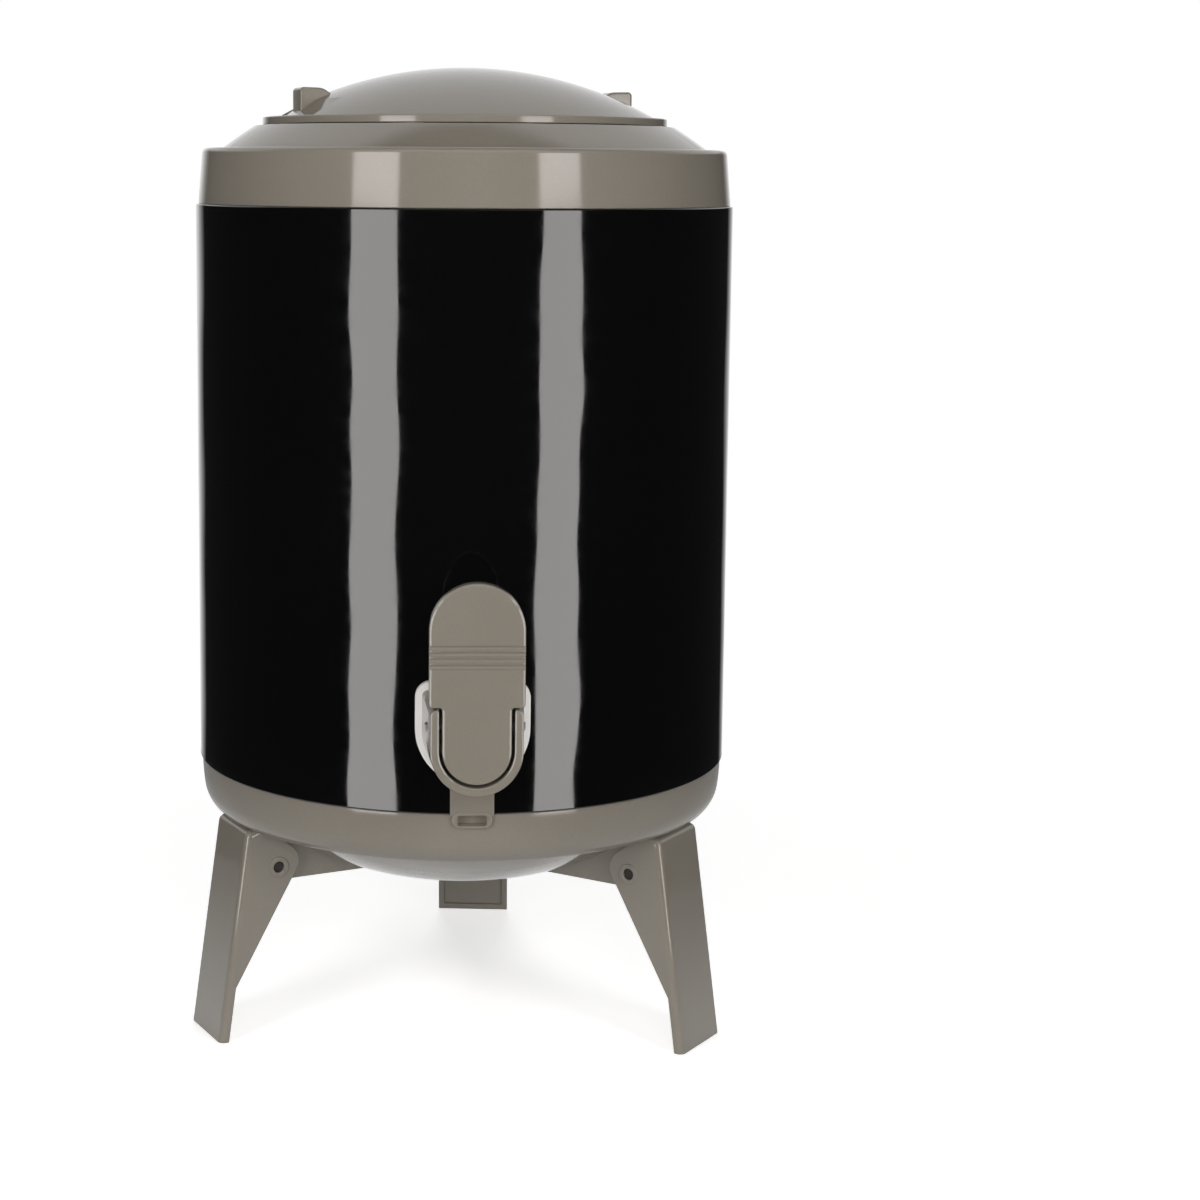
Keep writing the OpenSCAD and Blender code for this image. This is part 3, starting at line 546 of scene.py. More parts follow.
@made_once
def drawn_stainless_steel(finish):
    """Drawn stainless wire and rod: cool grey metal with a soft, slightly scratched shine."""
    material, tree, place_of = blank("drawn_stainless_steel")
    # Drawing marks, drawn at 0.7 mm so that they show
    marks = node(tree, 'ShaderNodeTexNoise', {'Vector': place_of, 'Scale': per_mm(0.7), 'Detail': 4.0})
    colour = node(tree, 'ShaderNodeMix', {'Factor': marks.outputs['Fac'], 'A': shade(finish.steel, 0.85),
                                          'B': shade(finish.steel, 1.05)}, data_type='RGBA')
    shine = node(tree, 'ShaderNodeMapRange', {'Value': marks.outputs['Fac'], 'To Min': 0.22, 'To Max': 0.42})
    face = node(tree, 'ShaderNodeBsdfPrincipled', {
        'Base Color': colour.outputs['Result'], 'Roughness': shine.outputs[0], 'Metallic': 1.0})
    node(tree, 'ShaderNodeOutputMaterial', {'Surface': face.outputs[0]})
    return material


@made_once
def blackened_steel(finish):
    """Oil-blackened steel rod: nearly black, with a dull shine and worn specks."""
    material, tree, place_of = blank("blackened_steel")
    # Worn specks, drawn at 0.6 mm so that they show
    worn = node(tree, 'ShaderNodeTexNoise', {'Vector': place_of, 'Scale': per_mm(0.6), 'Detail': 3.0})
    colour = node(tree, 'ShaderNodeMix', {'Factor': worn.outputs['Fac'], 'A': shade(finish.dark_steel, 0.7),
                                          'B': shade(finish.dark_steel, 1.3)}, data_type='RGBA')
    dull = node(tree, 'ShaderNodeMapRange', {'Value': worn.outputs['Fac'], 'To Min': 0.65, 'To Max': 0.85})
    face = node(tree, 'ShaderNodeBsdfPrincipled', {
        'Base Color': colour.outputs['Result'], 'Roughness': dull.outputs[0]})
    node(tree, 'ShaderNodeOutputMaterial', {'Surface': face.outputs[0]})
    return material


# Operators

class DISPENSER_OT_stage(bpy.types.Operator):
    """Set the camera, the two tall softboxes, two weak lights, the floor and the sky"""
    bl_idname = "dispenser.stage"
    bl_label = "Stage"

    def execute(self, context):
        scene = context.scene
        scene.view_settings.view_transform = 'Standard'
        self.camera(scene)
        self.lamps(scene)
        self.floor()
        self.sky(scene)
        return {'FINISHED'}

    def camera(self, scene):
        data = bpy.data.cameras.new("camera")
        data.sensor_width = 36.0
        data.lens = 71.55
        data.shift_x, data.shift_y = 0.1142, -0.0917
        data.clip_end = 50.0
        camera = bpy.data.objects.new("camera", data)
        camera.matrix_world = (Matrix.Translation((mm(-34.5), mm(-899.1), mm(317.2)))
                               @ Matrix.Rotation(math.radians(-2.2), 4, 'Z')
                               @ Matrix.Rotation(math.radians(90 - 7.6), 4, 'X')
                               @ Matrix.Rotation(math.radians(0.325), 4, 'Z'))
        scene.collection.objects.link(camera)
        scene.camera = camera

    def lamps(self, scene):
        # The upright walls mirror two parts of each softbox, and the others only give light
        heights, distance, watts_per_area = (-0.5, 0.4, 0.49, 0.62, 1.25), 1.45, 19.43
        for name, angle, width in (("softbox_left", -128.7, 0.50), ("softbox_right", -53.0, 0.45)):
            away = Vector((math.cos(math.radians(angle)), math.sin(math.radians(angle)), 0.0)) * distance
            aim = (-away).to_track_quat('-Z', 'Y').to_matrix().to_4x4()
            for part, (low, high) in enumerate(zip(heights, heights[1:])):
                data = bpy.data.lights.new(name, 'AREA')
                data.shape = 'RECTANGLE'
                data.size, data.size_y = width, high - low
                data.energy = watts_per_area * width * (high - low)
                data.color = (1.0, 0.965, 0.955)
                lamp = bpy.data.objects.new(name + "_" + str(part + 1), data)
                lamp.matrix_world = Matrix.Translation(away + Vector((0, 0, (low + high) / 2))) @ aim
                lamp.visible_glossy = part in (0, 2)
                scene.collection.objects.link(lamp)
        # Weak lights from the front and the back, too soft to be mirrored
        for name, turn, power in (("front_fill", 0, 10.0), ("back_fill", 180, 22.0)):
            data = bpy.data.lights.new(name, 'AREA')
            data.size, data.energy = 0.8, power
            fill = bpy.data.objects.new(name, data)
            fill.matrix_world = (Matrix.Rotation(math.radians(turn), 4, 'Z')
                                 @ Matrix.Translation((0, -2.0, 0.6))
                                 @ Matrix.Rotation(math.radians(78), 4, 'X'))
            fill.visible_glossy = False
            scene.collection.objects.link(fill)

    def floor(self):
        pick()
        bpy.ops.mesh.primitive_circle_add(vertices=96, radius=3.0, fill_type='NGON')
        floor = bpy.context.object
        floor.name = "floor"
        material, tree, place_of = blank("white_floor")
        paper_white = "#f2f2f2"
        grain = node(tree, 'ShaderNodeTexNoise', {'Vector': place_of, 'Scale': per_mm(400)})
        colour = node(tree, 'ShaderNodeMix', {'Factor': grain.outputs['Fac'], 'A': shade(paper_white, 0.98),
                                              'B': shade(paper_white, 1.0)}, data_type='RGBA')
        rays = node(tree, 'ShaderNodeLightPath')
        bounce = node(tree, 'ShaderNodeMix', {'Factor': rays.outputs['Is Diffuse Ray'],
                                              'A': colour.outputs['Result'],
                                              'B': shade(paper_white, 0.45)}, data_type='RGBA')
        paper = node(tree, 'ShaderNodeBsdfDiffuse', {'Color': bounce.outputs['Result']})
        mirrored = node(tree, 'ShaderNodeMath', {0: rays.outputs['Is Glossy Ray'],
                                                 1: rays.outputs['Is Transmission Ray']}, operation='MAXIMUM')
        level = node(tree, 'ShaderNodeMath', {0: mirrored.outputs[0], 1: 0.45}, operation='MULTIPLY')
        level = node(tree, 'ShaderNodeMath', {0: rays.outputs['Is Camera Ray'], 1: 0.6,
                                              2: level.outputs[0]}, operation='MULTIPLY_ADD')
        glow = node(tree, 'ShaderNodeEmission', {'Strength': level.outputs[0]})
        both = node(tree, 'ShaderNodeAddShader', {0: paper.outputs[0], 1: glow.outputs[0]})
        # Away from the object the floor turns into the white backdrop. Mirrors see it dim and then end
        reach = node(tree, 'ShaderNodeVectorMath', {0: place_of}, operation='LENGTH').outputs['Value']
        dim = node(tree, 'ShaderNodeMapRange', {'Value': reach, 'From Min': 0.12, 'From Max': 0.36})
        dim = node(tree, 'ShaderNodeMath', {0: dim.outputs[0], 1: rays.outputs['Is Glossy Ray']},
                   operation='MULTIPLY')
        both = node(tree, 'ShaderNodeMixShader', {
            0: dim.outputs[0], 1: both.outputs[0],
            2: node(tree, 'ShaderNodeEmission', {'Strength': 0.28}).outputs[0]})
        far = node(tree, 'ShaderNodeMapRange', {'Value': reach, 'From Min': 0.16, 'From Max': 0.5})
        fade = node(tree, 'ShaderNodeMath', {0: far.outputs[0], 1: rays.outputs['Is Camera Ray']},
                    operation='MULTIPLY')
        ground = node(tree, 'ShaderNodeMixShader', {0: fade.outputs[0], 1: both.outputs[0],
                                                    2: node(tree, 'ShaderNodeEmission').outputs[0]})
        outside = node(tree, 'ShaderNodeMath', {0: reach, 1: 0.42}, operation='GREATER_THAN')
        missed = node(tree, 'ShaderNodeMath', {0: outside.outputs[0], 1: rays.outputs['Is Glossy Ray']},
                      operation='MULTIPLY')
        seen = node(tree, 'ShaderNodeMixShader', {0: missed.outputs[0], 1: ground.outputs[0],
                                                  2: node(tree, 'ShaderNodeBsdfTransparent').outputs[0]})
        node(tree, 'ShaderNodeOutputMaterial', {'Surface': seen.outputs[0]})
        floor.data.materials.append(material)

    def sky(self, scene):
        world = bpy.data.worlds.new("studio")
        world.use_nodes = True
        tree = world.node_tree
        tree.nodes.clear()
        rays = node(tree, 'ShaderNodeLightPath')
        way = node(tree, 'ShaderNodeSeparateXYZ', {0: node(tree, 'ShaderNodeTexCoord').outputs['Generated']})
        # A white backdrop behind the object and over it, a dark room in front of it
        backdrop = node(tree, 'ShaderNodeMapRange', {'Value': way.outputs['Y'], 'From Min': 0.86,
                                                     'From Max': 0.96})
        # The second zone is a pale ceiling before the object, which only its rounded edges mirror
        zones = ((('Y', 0.1, 0.4), ('Z', 0.12, 0.26), ('Z', 0.915, 0.86)),
                 (('Y', -0.3, -0.5), ('Z', 0.3, 0.55), ('Z', 0.86, 0.76)))
        for limits in zones:
            zone = None
            for side, start, full in limits:
                band = node(tree, 'ShaderNodeMapRange', {'Value': way.outputs[side], 'From Min': start,
                                                         'From Max': full})
                zone = band if zone is None else node(tree, 'ShaderNodeMath', {
                    0: zone.outputs[0], 1: band.outputs[0]}, operation='MULTIPLY')
            backdrop = node(tree, 'ShaderNodeMath', {0: backdrop.outputs[0], 1: zone.outputs[0]},
                            operation='MAXIMUM')
        backdrop = node(tree, 'ShaderNodeMapRange', {'Value': backdrop.outputs[0], 'To Min': 0.02,
                                                     'To Max': 1.0})
        # The room's light falls mostly from above
        room = node(tree, 'ShaderNodeMapRange', {'Value': way.outputs['Z'], 'To Min': 0.05, 'To Max': 0.14})
        mirror = node(tree, 'ShaderNodeMath', {0: rays.outputs['Is Glossy Ray'],
                                               1: rays.outputs['Is Transmission Ray']}, operation='MAXIMUM')
        seen = node(tree, 'ShaderNodeMix', {'Factor': mirror.outputs[0], 'A': room.outputs[0],
                                            'B': backdrop.outputs[0]}, data_type='FLOAT')
        level = node(tree, 'ShaderNodeMix', {'Factor': rays.outputs['Is Camera Ray'],
                                             'A': seen.outputs[0], 'B': 1.0}, data_type='FLOAT')
        light = node(tree, 'ShaderNodeBackground', {'Color': (1.0, 1.0, 1.0, 1.0),
                                                    'Strength': level.outputs[0]})
        node(tree, 'ShaderNodeOutputWorld', {'Surface': light.outputs[0]})
        scene.world = world


class DISPENSER_OT_shell(bpy.types.Operator):
    """Model the black shell, with its slot under the tap"""
    bl_idname = "dispenser.shell"
    bl_label = "Shell"

    def execute(self, context):
        body, tap = context.scene.dispenser_body, context.scene.dispenser_tap
        outside, inside = body.radius, body.radius - body.shell_wall
        low, high = SHELL_LOW.z, SHELL_HIGH.z
        shell = turned("shell", rounded([(inside, low, mm(0.3)), (outside, low, body.shell_edge),
                                         (outside, high, body.shell_edge), (inside, high, mm(0.3))]), SEAM_STEPS)
        # The slot is a little wider than the base's tongue
        half = mm(7.85)
        slot = slab("slot", [(half, low - mm(2)), (half, tap.height)]
                    + arc(0, tap.height, half, 0, 180, 24)[1:] + [(-half, low - mm(2))],
                    -outside - mm(2), -inside + mm(5))
        cut(shell, slot)
        place(shell, polished_black_abs(context.scene.dispenser_finish), "body", "shell_black", "outer_shell")
        return {'FINISHED'}


class DISPENSER_OT_collar(bpy.types.Operator):
    """Model the grey collar, with its step, shoulder and locking notches"""
    bl_idname = "dispenser.collar"
    bl_label = "Collar"

    def execute(self, context):
        body = context.scene.dispenser_body
        r, low, top = body.radius, SHELL_HIGH.z, COLLAR_TOP
        step = low + body.step_height
        ledge, crown = (mm(90.0), step), (mm(78.0), top)
        pull = ((ledge[0] + crown[0]) / 2 + mm(0.2), (ledge[1] + crown[1]) / 2 + mm(0.3))
        outer = rounded([(r - mm(0.9), low, mm(0.4)), (r - mm(2.6), step, body.step_round),
                         (ledge[0], ledge[1], 0.0), (mm(60), low, 0.0)], 8)[:-1]
        lip = rounded([(crown[0] + mm(2), top - mm(1.4), 0.0), (crown[0], top, mm(0.7)),
                       (mm(64.4), top, mm(0.6)), (mm(64.4), top - mm(8), mm(0.3)),
                       (mm(68.4), top - mm(8), 0.0), (mm(68.4), top - mm(15.2), 0.0),
                       (mm(60.0), top - mm(15.2), mm(0.5)), (mm(60.0), top - mm(17.7), mm(0.5)),
                       (mm(70.9), top - mm(17.7), 0.0), (mm(70.9), top - mm(2.5), 0.0),
                       (mm(77.0), top - mm(2.5), 0.0), (mm(89.0), step - mm(2.5), 0.0),
                       (r - mm(5.6), step - mm(2.5), 0.0), (r - mm(4.0), step - mm(4.5), 0.0),
                       (r - mm(4.0), low - mm(8), mm(0.4)), (r - mm(2.0), low - mm(8), mm(0.4)),
                       (r - mm(2.0), low, 0.0)], 5)
        section = outer + bowed(ledge, pull, crown, 10)[1:-1] + lip[1:]
        collar = turned("collar", section, SEAM_STEPS)
        notch = rounded([(mm(63.0), top - mm(9), 0.0), (mm(68.1), top - mm(9), 0.0),
                         (mm(68.1), top + mm(1), 0.0), (mm(63.0), top + mm(1), 0.0)])
        cut(collar, *[swept("notch", notch, way, math.radians(34)) for way in LUGS])
        place(collar, moulded_grey_abs(context.scene.dispenser_finish), "body", "body_grey", "collar")
        return {'FINISHED'}


def base_ring(body):
    """Outline of the base's skirt and of the round under it, from the rim down."""
    x, z, lean, small = body.radius - SKIRT_INSET, SHELL_LOW.z, mm(80.0), body.skirt_round
    tip = math.radians(8)
    foot = Vector((x - lean * (1 - math.cos(tip)), z - lean * math.sin(tip)))
    middle = foot - small * Vector((math.cos(tip), -math.sin(tip)))
    return arc(x - lean, z, lean, 0, -8, 5)[:-1] + arc(middle.x, middle.y, small, -8, -47, 10)


class DISPENSER_OT_base(bpy.types.Operator):
    """Model the base: the bowl, the tongue in the shell's slot, the slotted boss and the legs' cheeks"""
    bl_idname = "dispenser.base"
    bl_label = "Base"

    def execute(self, context):
        body, legs = context.scene.dispenser_body, context.scene.dispenser_legs
        grey = moulded_grey_abs(context.scene.dispenser_finish)
        rim, r = SHELL_LOW.z, body.radius
        skirt, ball = r - SKIRT_INSET, body.bowl_radius
        ball_z = rim - body.bowl_drop + ball
        # The skirt leans in as it falls; its round turns on inward to a ledge, from which the bowl hangs
        under = base_ring(body)
        ledge = under[-1][1]
        seam = math.sqrt(ball ** 2 - (ball_z - ledge) ** 2)
        bottom = arc(0, ball_z, ball, -90 + math.degrees(math.asin(seam / ball)), -90, 36)
        bottom[-1] = (0.0, ball_z - ball)
        room = ball - mm(2.5)
        inner_under = [(x - mm(1.2), z + mm(2.2)) for x, z in under[:11:-1]]
        deep = math.sqrt(room ** 2 - (ball_z - inner_under[0][1]) ** 2)
        inside = arc(0, ball_z, room, -90, -90 + math.degrees(math.asin(deep / room)), 30)
        inside[0] = (0.0, ball_z - room)
        outer = rounded([(mm(96), rim + mm(8), mm(0.4)), (mm(98), rim + mm(8), mm(0.4)), (mm(98), rim, 0.0),
                         (skirt, rim, mm(0.5))] + plain(under[1:-1])
                        + [under[-1] + (mm(0.5),), bottom[0] + (mm(1.2),), bottom[1] + (0.0,)], 6)
        section = bottom[:1:-1] + outer[::-1] + inner_under[::-1] + inside[::-1]
        bowl = turned("base_bowl", section, SEAM_STEPS)
        tongue = swept("base_tongue", [(mm(97.2), rim - mm(0.6)), (r, rim - mm(0.6)), (r, rim + mm(23.1)),
                                       (mm(97.2), rim + mm(23.1))],
                       math.radians(-90), 2 * math.asin(mm(7.65) / r), 8)
        soften(tongue, mm(0.35))
        boss_z, half, flat = rim - mm(2.0), mm(3.0), mm(4.3)
        oval = arc(flat, boss_z, half, -90, 90, 16) + arc(-flat, boss_z, half, 90, 270, 16)
        boss = slab("base_boss", oval, -skirt - mm(1.2), -skirt + mm(3.3))
        soften(boss, mm(0.8), 4)
        # The slot is a little wider in the pieces that lie before the bowl, so that no walls coincide
        for piece, depth, more in ((tongue, mm(8), mm(0.2)), (boss, mm(8), mm(0.1)), (bowl, mm(2.6), 0.0)):
            wide, high = mm(5) + more, mm(1.7) + more
            hole = rounded([(-wide, boss_z - high, mm(0.7)), (wide, boss_z - high, mm(0.7)),
                            (wide, boss_z + high, mm(0.7)), (-wide, boss_z + high, mm(0.7))])
            cut(piece, slab("boss_slot", hole, -skirt - mm(3), -skirt + depth))
        join(bowl, tongue, boss)
        place(bowl, grey, "body", "body_grey", "base_cup")

        # The cheeks' eyes hold the leg's pin, and the bowl's sphere is cut away from their roots
        pin, eye, stop, root = LEG_PIN, mm(5.8), mm(88.7), mm(27.5)
        cheek = slab("cheek", [(root, pin.y - eye), (pin.x, pin.y - eye)]
                     + arc(pin.x, pin.y, eye, -90, 0, 12)[1:]
                     + [(stop, mm(73.7)), (stop, ledge + mm(1)), (root, ledge + mm(1))], mm(9.0), mm(12.0))
        pick()
        bpy.ops.mesh.primitive_uv_sphere_add(segments=128, ring_count=96, radius=ball - mm(1.25),
                                             location=(0, 0, ball_z))
        bpy.ops.object.transform_apply(location=True, rotation=False, scale=True)
        cut(cheek, bpy.context.object,
            rod("cheek_hole", (pin.x, mm(8), pin.y), (pin.x, mm(13), pin.y), mm(2.0)))
        soften(cheek, mm(0.5))
        pair = join(cheek, twin(cheek, "cheek_other", shift=(0, -mm(21.0), 0)))
        for name, turn in leg_turns(legs):
            place(twin(pair, "cheeks_" + name, turn), grey, "body", "body_grey", "base_cup")
        bpy.data.meshes.remove(pair.data)
        return {'FINISHED'}


def leg_turns(legs):
    """Each leg's name and the turn that brings its own plane from +X to its place."""
    return [(name, math.radians(place_deg - 90) + legs.turn)
            for name, place_deg in (("front_left", -60), ("front_right", 60), ("rear", 180))]


class DISPENSER_OT_legs(bpy.types.Operator):
    """Model the three folding legs, U-shaped channels on blackened pins"""
    bl_idname = "dispenser.legs"
    bl_label = "Legs"

    def execute(self, context):
        legs, finish = context.scene.dispenser_legs, context.scene.dispenser_finish
        half, wall = legs.width / 2, legs.wall
        foot, top = Vector((mm(106.0), 0.0)), Vector((mm(94.7), mm(78.6)))
        pin, eye, depth, knee_z = LEG_PIN, mm(7.2), mm(3.7), mm(20.2)
        end = pin + Vector((-mm(1.1), mm(1.4)))
        slope, lip, ear = (top.x - foot.x) / top.y, top.x - mm(5.7), Vector((mm(86.6), top.y))
        knee = Vector((foot.x + slope * knee_z - depth, knee_z))
        away, over = end - knee, end - ear
        touch = math.atan2(away.y, away.x) + math.pi / 2 - math.asin(eye / away.length)
        leave = math.atan2(over.y, over.x) + math.tau - math.pi / 2 - math.asin(eye / over.length)
        leg = slab("leg", rounded([tuple(foot) + (0.0,), tuple(top) + (mm(2.6),), tuple(ear) + (mm(0.8),)]
                                  + plain(arc(end.x, end.y, eye, math.degrees(leave), math.degrees(touch), 16))
                                  + [tuple(knee) + (0.0,), (foot.x - depth, 0.0, 0.0)], 6), -half, half)
        # The front and the top roll over into the sides
        weigh(leg, 1.0, lambda a, b: abs(a.y - b.y) < mm(0.01) and min(a.x, b.x) > ear.x + mm(0.5)
              and all(point.x > foot.x + slope * point.z - mm(1) or point.z > mm(70) for point in (a, b)))
        round_weighed(leg, legs.shoulder)
        inner = [(foot.x + slope * wall - wall, wall), (foot.x + slope * (top.y - wall) - wall, top.y - wall),
                 (lip, top.y - wall), (lip, mm(100)), (mm(40), mm(100)), (mm(40), wall)]
        cut(leg, slab("channel", inner, -half + wall, half - wall))
        soften(leg, legs.edge, 2, clamp=False)
        cut(leg, rod("pin_hole", (pin.x, -half - mm(2), pin.y), (pin.x, half + mm(2), pin.y), mm(2.05)))
        rings = []
        for side in SIDES:
            ring = rod("pin_ring", (pin.x, side * (half - mm(0.8)), pin.y),
                       (pin.x, side * (half + mm(0.5)), pin.y), mm(3.8))
            cut(ring, rod("ring_hole", (pin.x, side * (half - mm(2)), pin.y),
                          (pin.x, side * (half + mm(2)), pin.y), mm(2.05)))
            rings.append(soften(ring, mm(0.3)))
        join(leg, *rings)
        bar = rod("leg_pin", (pin.x, -half + mm(0.4), pin.y), (pin.x, half - mm(0.4), pin.y), mm(2.0))
        soften(bar, mm(0.4))
        for name, turn in leg_turns(legs):
            place(twin(leg, "leg_" + name + "_channel", turn), moulded_grey_abs(finish), "leg_" + name,
                  "body_grey", "leg_" + name)
            place(twin(bar, "leg_" + name + "_bar", turn), blackened_steel(finish), "body", "dark_steel",
                  "leg_pin_" + name)
        bpy.data.meshes.remove(leg.data)
        bpy.data.meshes.remove(bar.data)
        return {'FINISHED'}


class DISPENSER_OT_tap(bpy.types.Operator):
    """Model the tap's white gasket and its U-shaped housing, with its spout and a hole for the shank"""
    bl_idname = "dispenser.tap"
    bl_label = "Tap"

    def execute(self, context):
        body, tap, finish = (context.scene.dispenser_body, context.scene.dispenser_tap,
                             context.scene.dispenser_finish)
        mid, front, r = tap.height, LEVER_LOW.y, body.radius
        wide, top = (GASKET_HIGH.x - GASKET_LOW.x) / 2, GASKET_HIGH.z
        gasket = slab("gasket", rounded(plain(arc(0, mid, wide, 180, 360, 40))
                                        + [(wide, top, mm(6)), (-wide, top, mm(6))], 8), front, -r + mm(3))
        flange = turned("flange", [(r + mm(0.02), mm(98)), (r + mm(2.5), mm(98)), (r + mm(2.5), mm(160)),
                                   (r + mm(0.02), mm(160))], 360)
        cut(gasket, flange, operation='INTERSECT')
        cut(gasket, rod("gasket_hole", (0, -r - mm(5), mid), (0, -r + mm(5), mid), mm(7.05)))
        soften(gasket, mm(0.6))
        place(gasket, white_silicone(finish), "body", "gasket_white", "tap_gasket")

        half, high = tap.front_width / 2, TAP_TOP
        mouth = rounded(plain(arc(0, mid, half, 180, 360, 48))
                        + [(half, high, mm(2.2)), (-half, high, mm(2.2))], 6)
        # The housing widens from its mouth to its back
        back, wide = -r - mm(0.5), mm(17.5)
        housing = slab("tap_housing", mouth, front, back,
                       ((wide / half, 1.0, (high - mid + wide) / (high - mid + half)), (0, back, high)))
        cut(housing, turned("body_round", [(0.0, mm(90)), (r + mm(2.5), mm(90)), (r + mm(2.5), mm(170)),
                                           (0.0, mm(170))], 360))
        cut(housing, rod("spout", (0, SPOUT_Y, mid - mm(19.5)), (0, SPOUT_Y, mid - mm(7)), mm(5.5)),
            operation='UNION')
        pocket = half - tap.wall
        room = arc(0, mid, pocket, 180, 360, 40) + [(pocket, high + mm(5)), (-pocket, high + mm(5))]
        cut(housing, slab("pocket", room, front - mm(1), mm(-115.0)),
            rod("chamber", (0, mm(-116), mid), (0, mm(-104.5), mid), mm(7.5)),
            rod("shank_hole", (0, mm(-105), mid), (0, mm(-90), mid), mm(7.0)),
            rod("spout_bore", (0, SPOUT_Y, mid - mm(21)), (0, SPOUT_Y, mid), mm(4.0)),
            rod("pivot_bore", (-mm(20), PIVOT_Y, PIVOT_Z), (mm(20), PIVOT_Y, PIVOT_Z), mm(1.5)))
        soften(housing, mm(0.5), 2, 40, clamp=False)
        place(housing, moulded_grey_abs(finish), "body", "body_grey", "tap_body", angle=16)
        return {'FINISHED'}


class DISPENSER_OT_lever(bpy.types.Operator):
    """Model the tap's lever, with its grip grooves, arms and steel pin"""
    bl_idname = "dispenser.lever"
    bl_label = "Lever"

    def execute(self, context):
        tap, finish = context.scene.dispenser_tap, context.scene.dispenser_finish
        mid, front, back = tap.height, LEVER_LOW.y, LEVER_LOW.y + tap.lever_thickness
        lobe, wide, notch = mm(11.5), (LEVER_HIGH.x - LEVER_LOW.x) / 2, mm(142.6)
        crown = LEVER_HIGH.z - wide
        outline = (plain(arc(0, mid, lobe, 180, 360, 32)) + [(lobe, notch, mm(1.0)), (wide, notch, mm(1.2))]
                   + plain(arc(0, crown, wide, 0, 180, 40))
                   + [(-wide, notch, mm(1.2)), (-lobe, notch, mm(1.0))])
        lever = slab("lever", rounded(outline, 5), front, back)
        # The front's edges are broken more than the others
        weigh(lever, 0.4, lambda a, b: True)
        weigh(lever, 1.0, lambda a, b: max(a.y, b.y) < front + mm(0.01))
        round_weighed(lever, mm(0.8), 2)
        for i in range(tap.grooves):
            z = mid + mm(28.3 + 2.1 * i)
            cut(lever, rod("groove", (-wide - mm(1), front - mm(0.1), z), (wide + mm(1), front - mm(0.1), z),
                           mm(0.8), 32))
        arms, half, thin = [], mm(2), mm(1.7)
        for side in SIDES:
            x, reach = side * mm(7.2), side * mm(4.5)
            arm = slab("arm", [(x - half, mm(129.8)), (x + half, mm(129.8)), (x + half, mm(136.6)),
                               (x - half, mm(136.6))], back - mm(0.5), PIVOT_Y)
            hub = rod("hub", (x - half, PIVOT_Y, PIVOT_Z), (x + half, PIVOT_Y, PIVOT_Z), mm(3.4))
            cut(arm, hub, operation='UNION')
            prong = slab("prong", [(reach - thin, mid - mm(0.6)), (reach + thin, mid - mm(0.6)),
                                   (reach + thin, PIVOT_Z), (reach - thin, PIVOT_Z)],
                         mm(-119.7), mm(-117.4))
            cut(arm, prong, operation='UNION')
            cut(arm, rod("hub_bore", (x - mm(5), PIVOT_Y, PIVOT_Z), (x + mm(5), PIVOT_Y, PIVOT_Z), mm(1.55)))
            arms.append(soften(arm, mm(0.3), 2))
        join(lever, *arms)
        place(lever, moulded_grey_abs(finish), "lever", "body_grey", "tap_lever", angle=16)
        middle = (PIN_LOW + PIN_HIGH) / 2
        bar = rod("lever_bar", (PIN_LOW.x, middle.y, middle.z), (PIN_HIGH.x, middle.y, middle.z), mm(1.5))
        soften(bar, mm(0.3))
        place(bar, drawn_stainless_steel(finish), "body", "steel", "lever_pin")
        return {'FINISHED'}


class DISPENSER_OT_valve(bpy.types.Operator):
    """Model the valve's coiled spring and finish the valve's other pieces"""
    bl_idname = "dispenser.valve"
    bl_label = "Valve"

    def execute(self, context):
        tap, finish = context.scene.dispenser_tap, context.scene.dispenser_finish
        wire, coil, turns, stroke = mm(0.5), mm(4.0), 3, mm(1.6)
        length = SPRING_HIGH.y - SPRING_LOW.y - 2 * wire
        spring = trace("spring", [(coil + x, y, 0.0) for x, y in arc(0, 0, wire, 0, 330, 11)])
        modify(spring, 'SCREW', axis='Y', screw_offset=length / turns, iterations=turns, steps=40,
               render_steps=40)
        bpy.ops.object.mode_set(mode='EDIT')
        bpy.ops.mesh.select_all(action='DESELECT')
        bpy.ops.mesh.select_non_manifold()
        bpy.ops.mesh.fill_holes(sides=24)
        close_up(spring)
        spring.location = (0, SPRING_LOW.y + wire, tap.height)
        bpy.ops.object.transform_apply(location=True, rotation=False, scale=False)
        place(spring, drawn_stainless_steel(finish), "body", "steel", "valve_spring", angle=60)
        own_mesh(spring)
        dress(white_polypropylene(finish), "valve_stem")
        dress(seal_rubber(finish), "valve_seal", "tap_washer")
        dress(moulded_grey_abs(finish), "tap_shank", "tap_bonnet", "tap_nut")
        return {'FINISHED'}


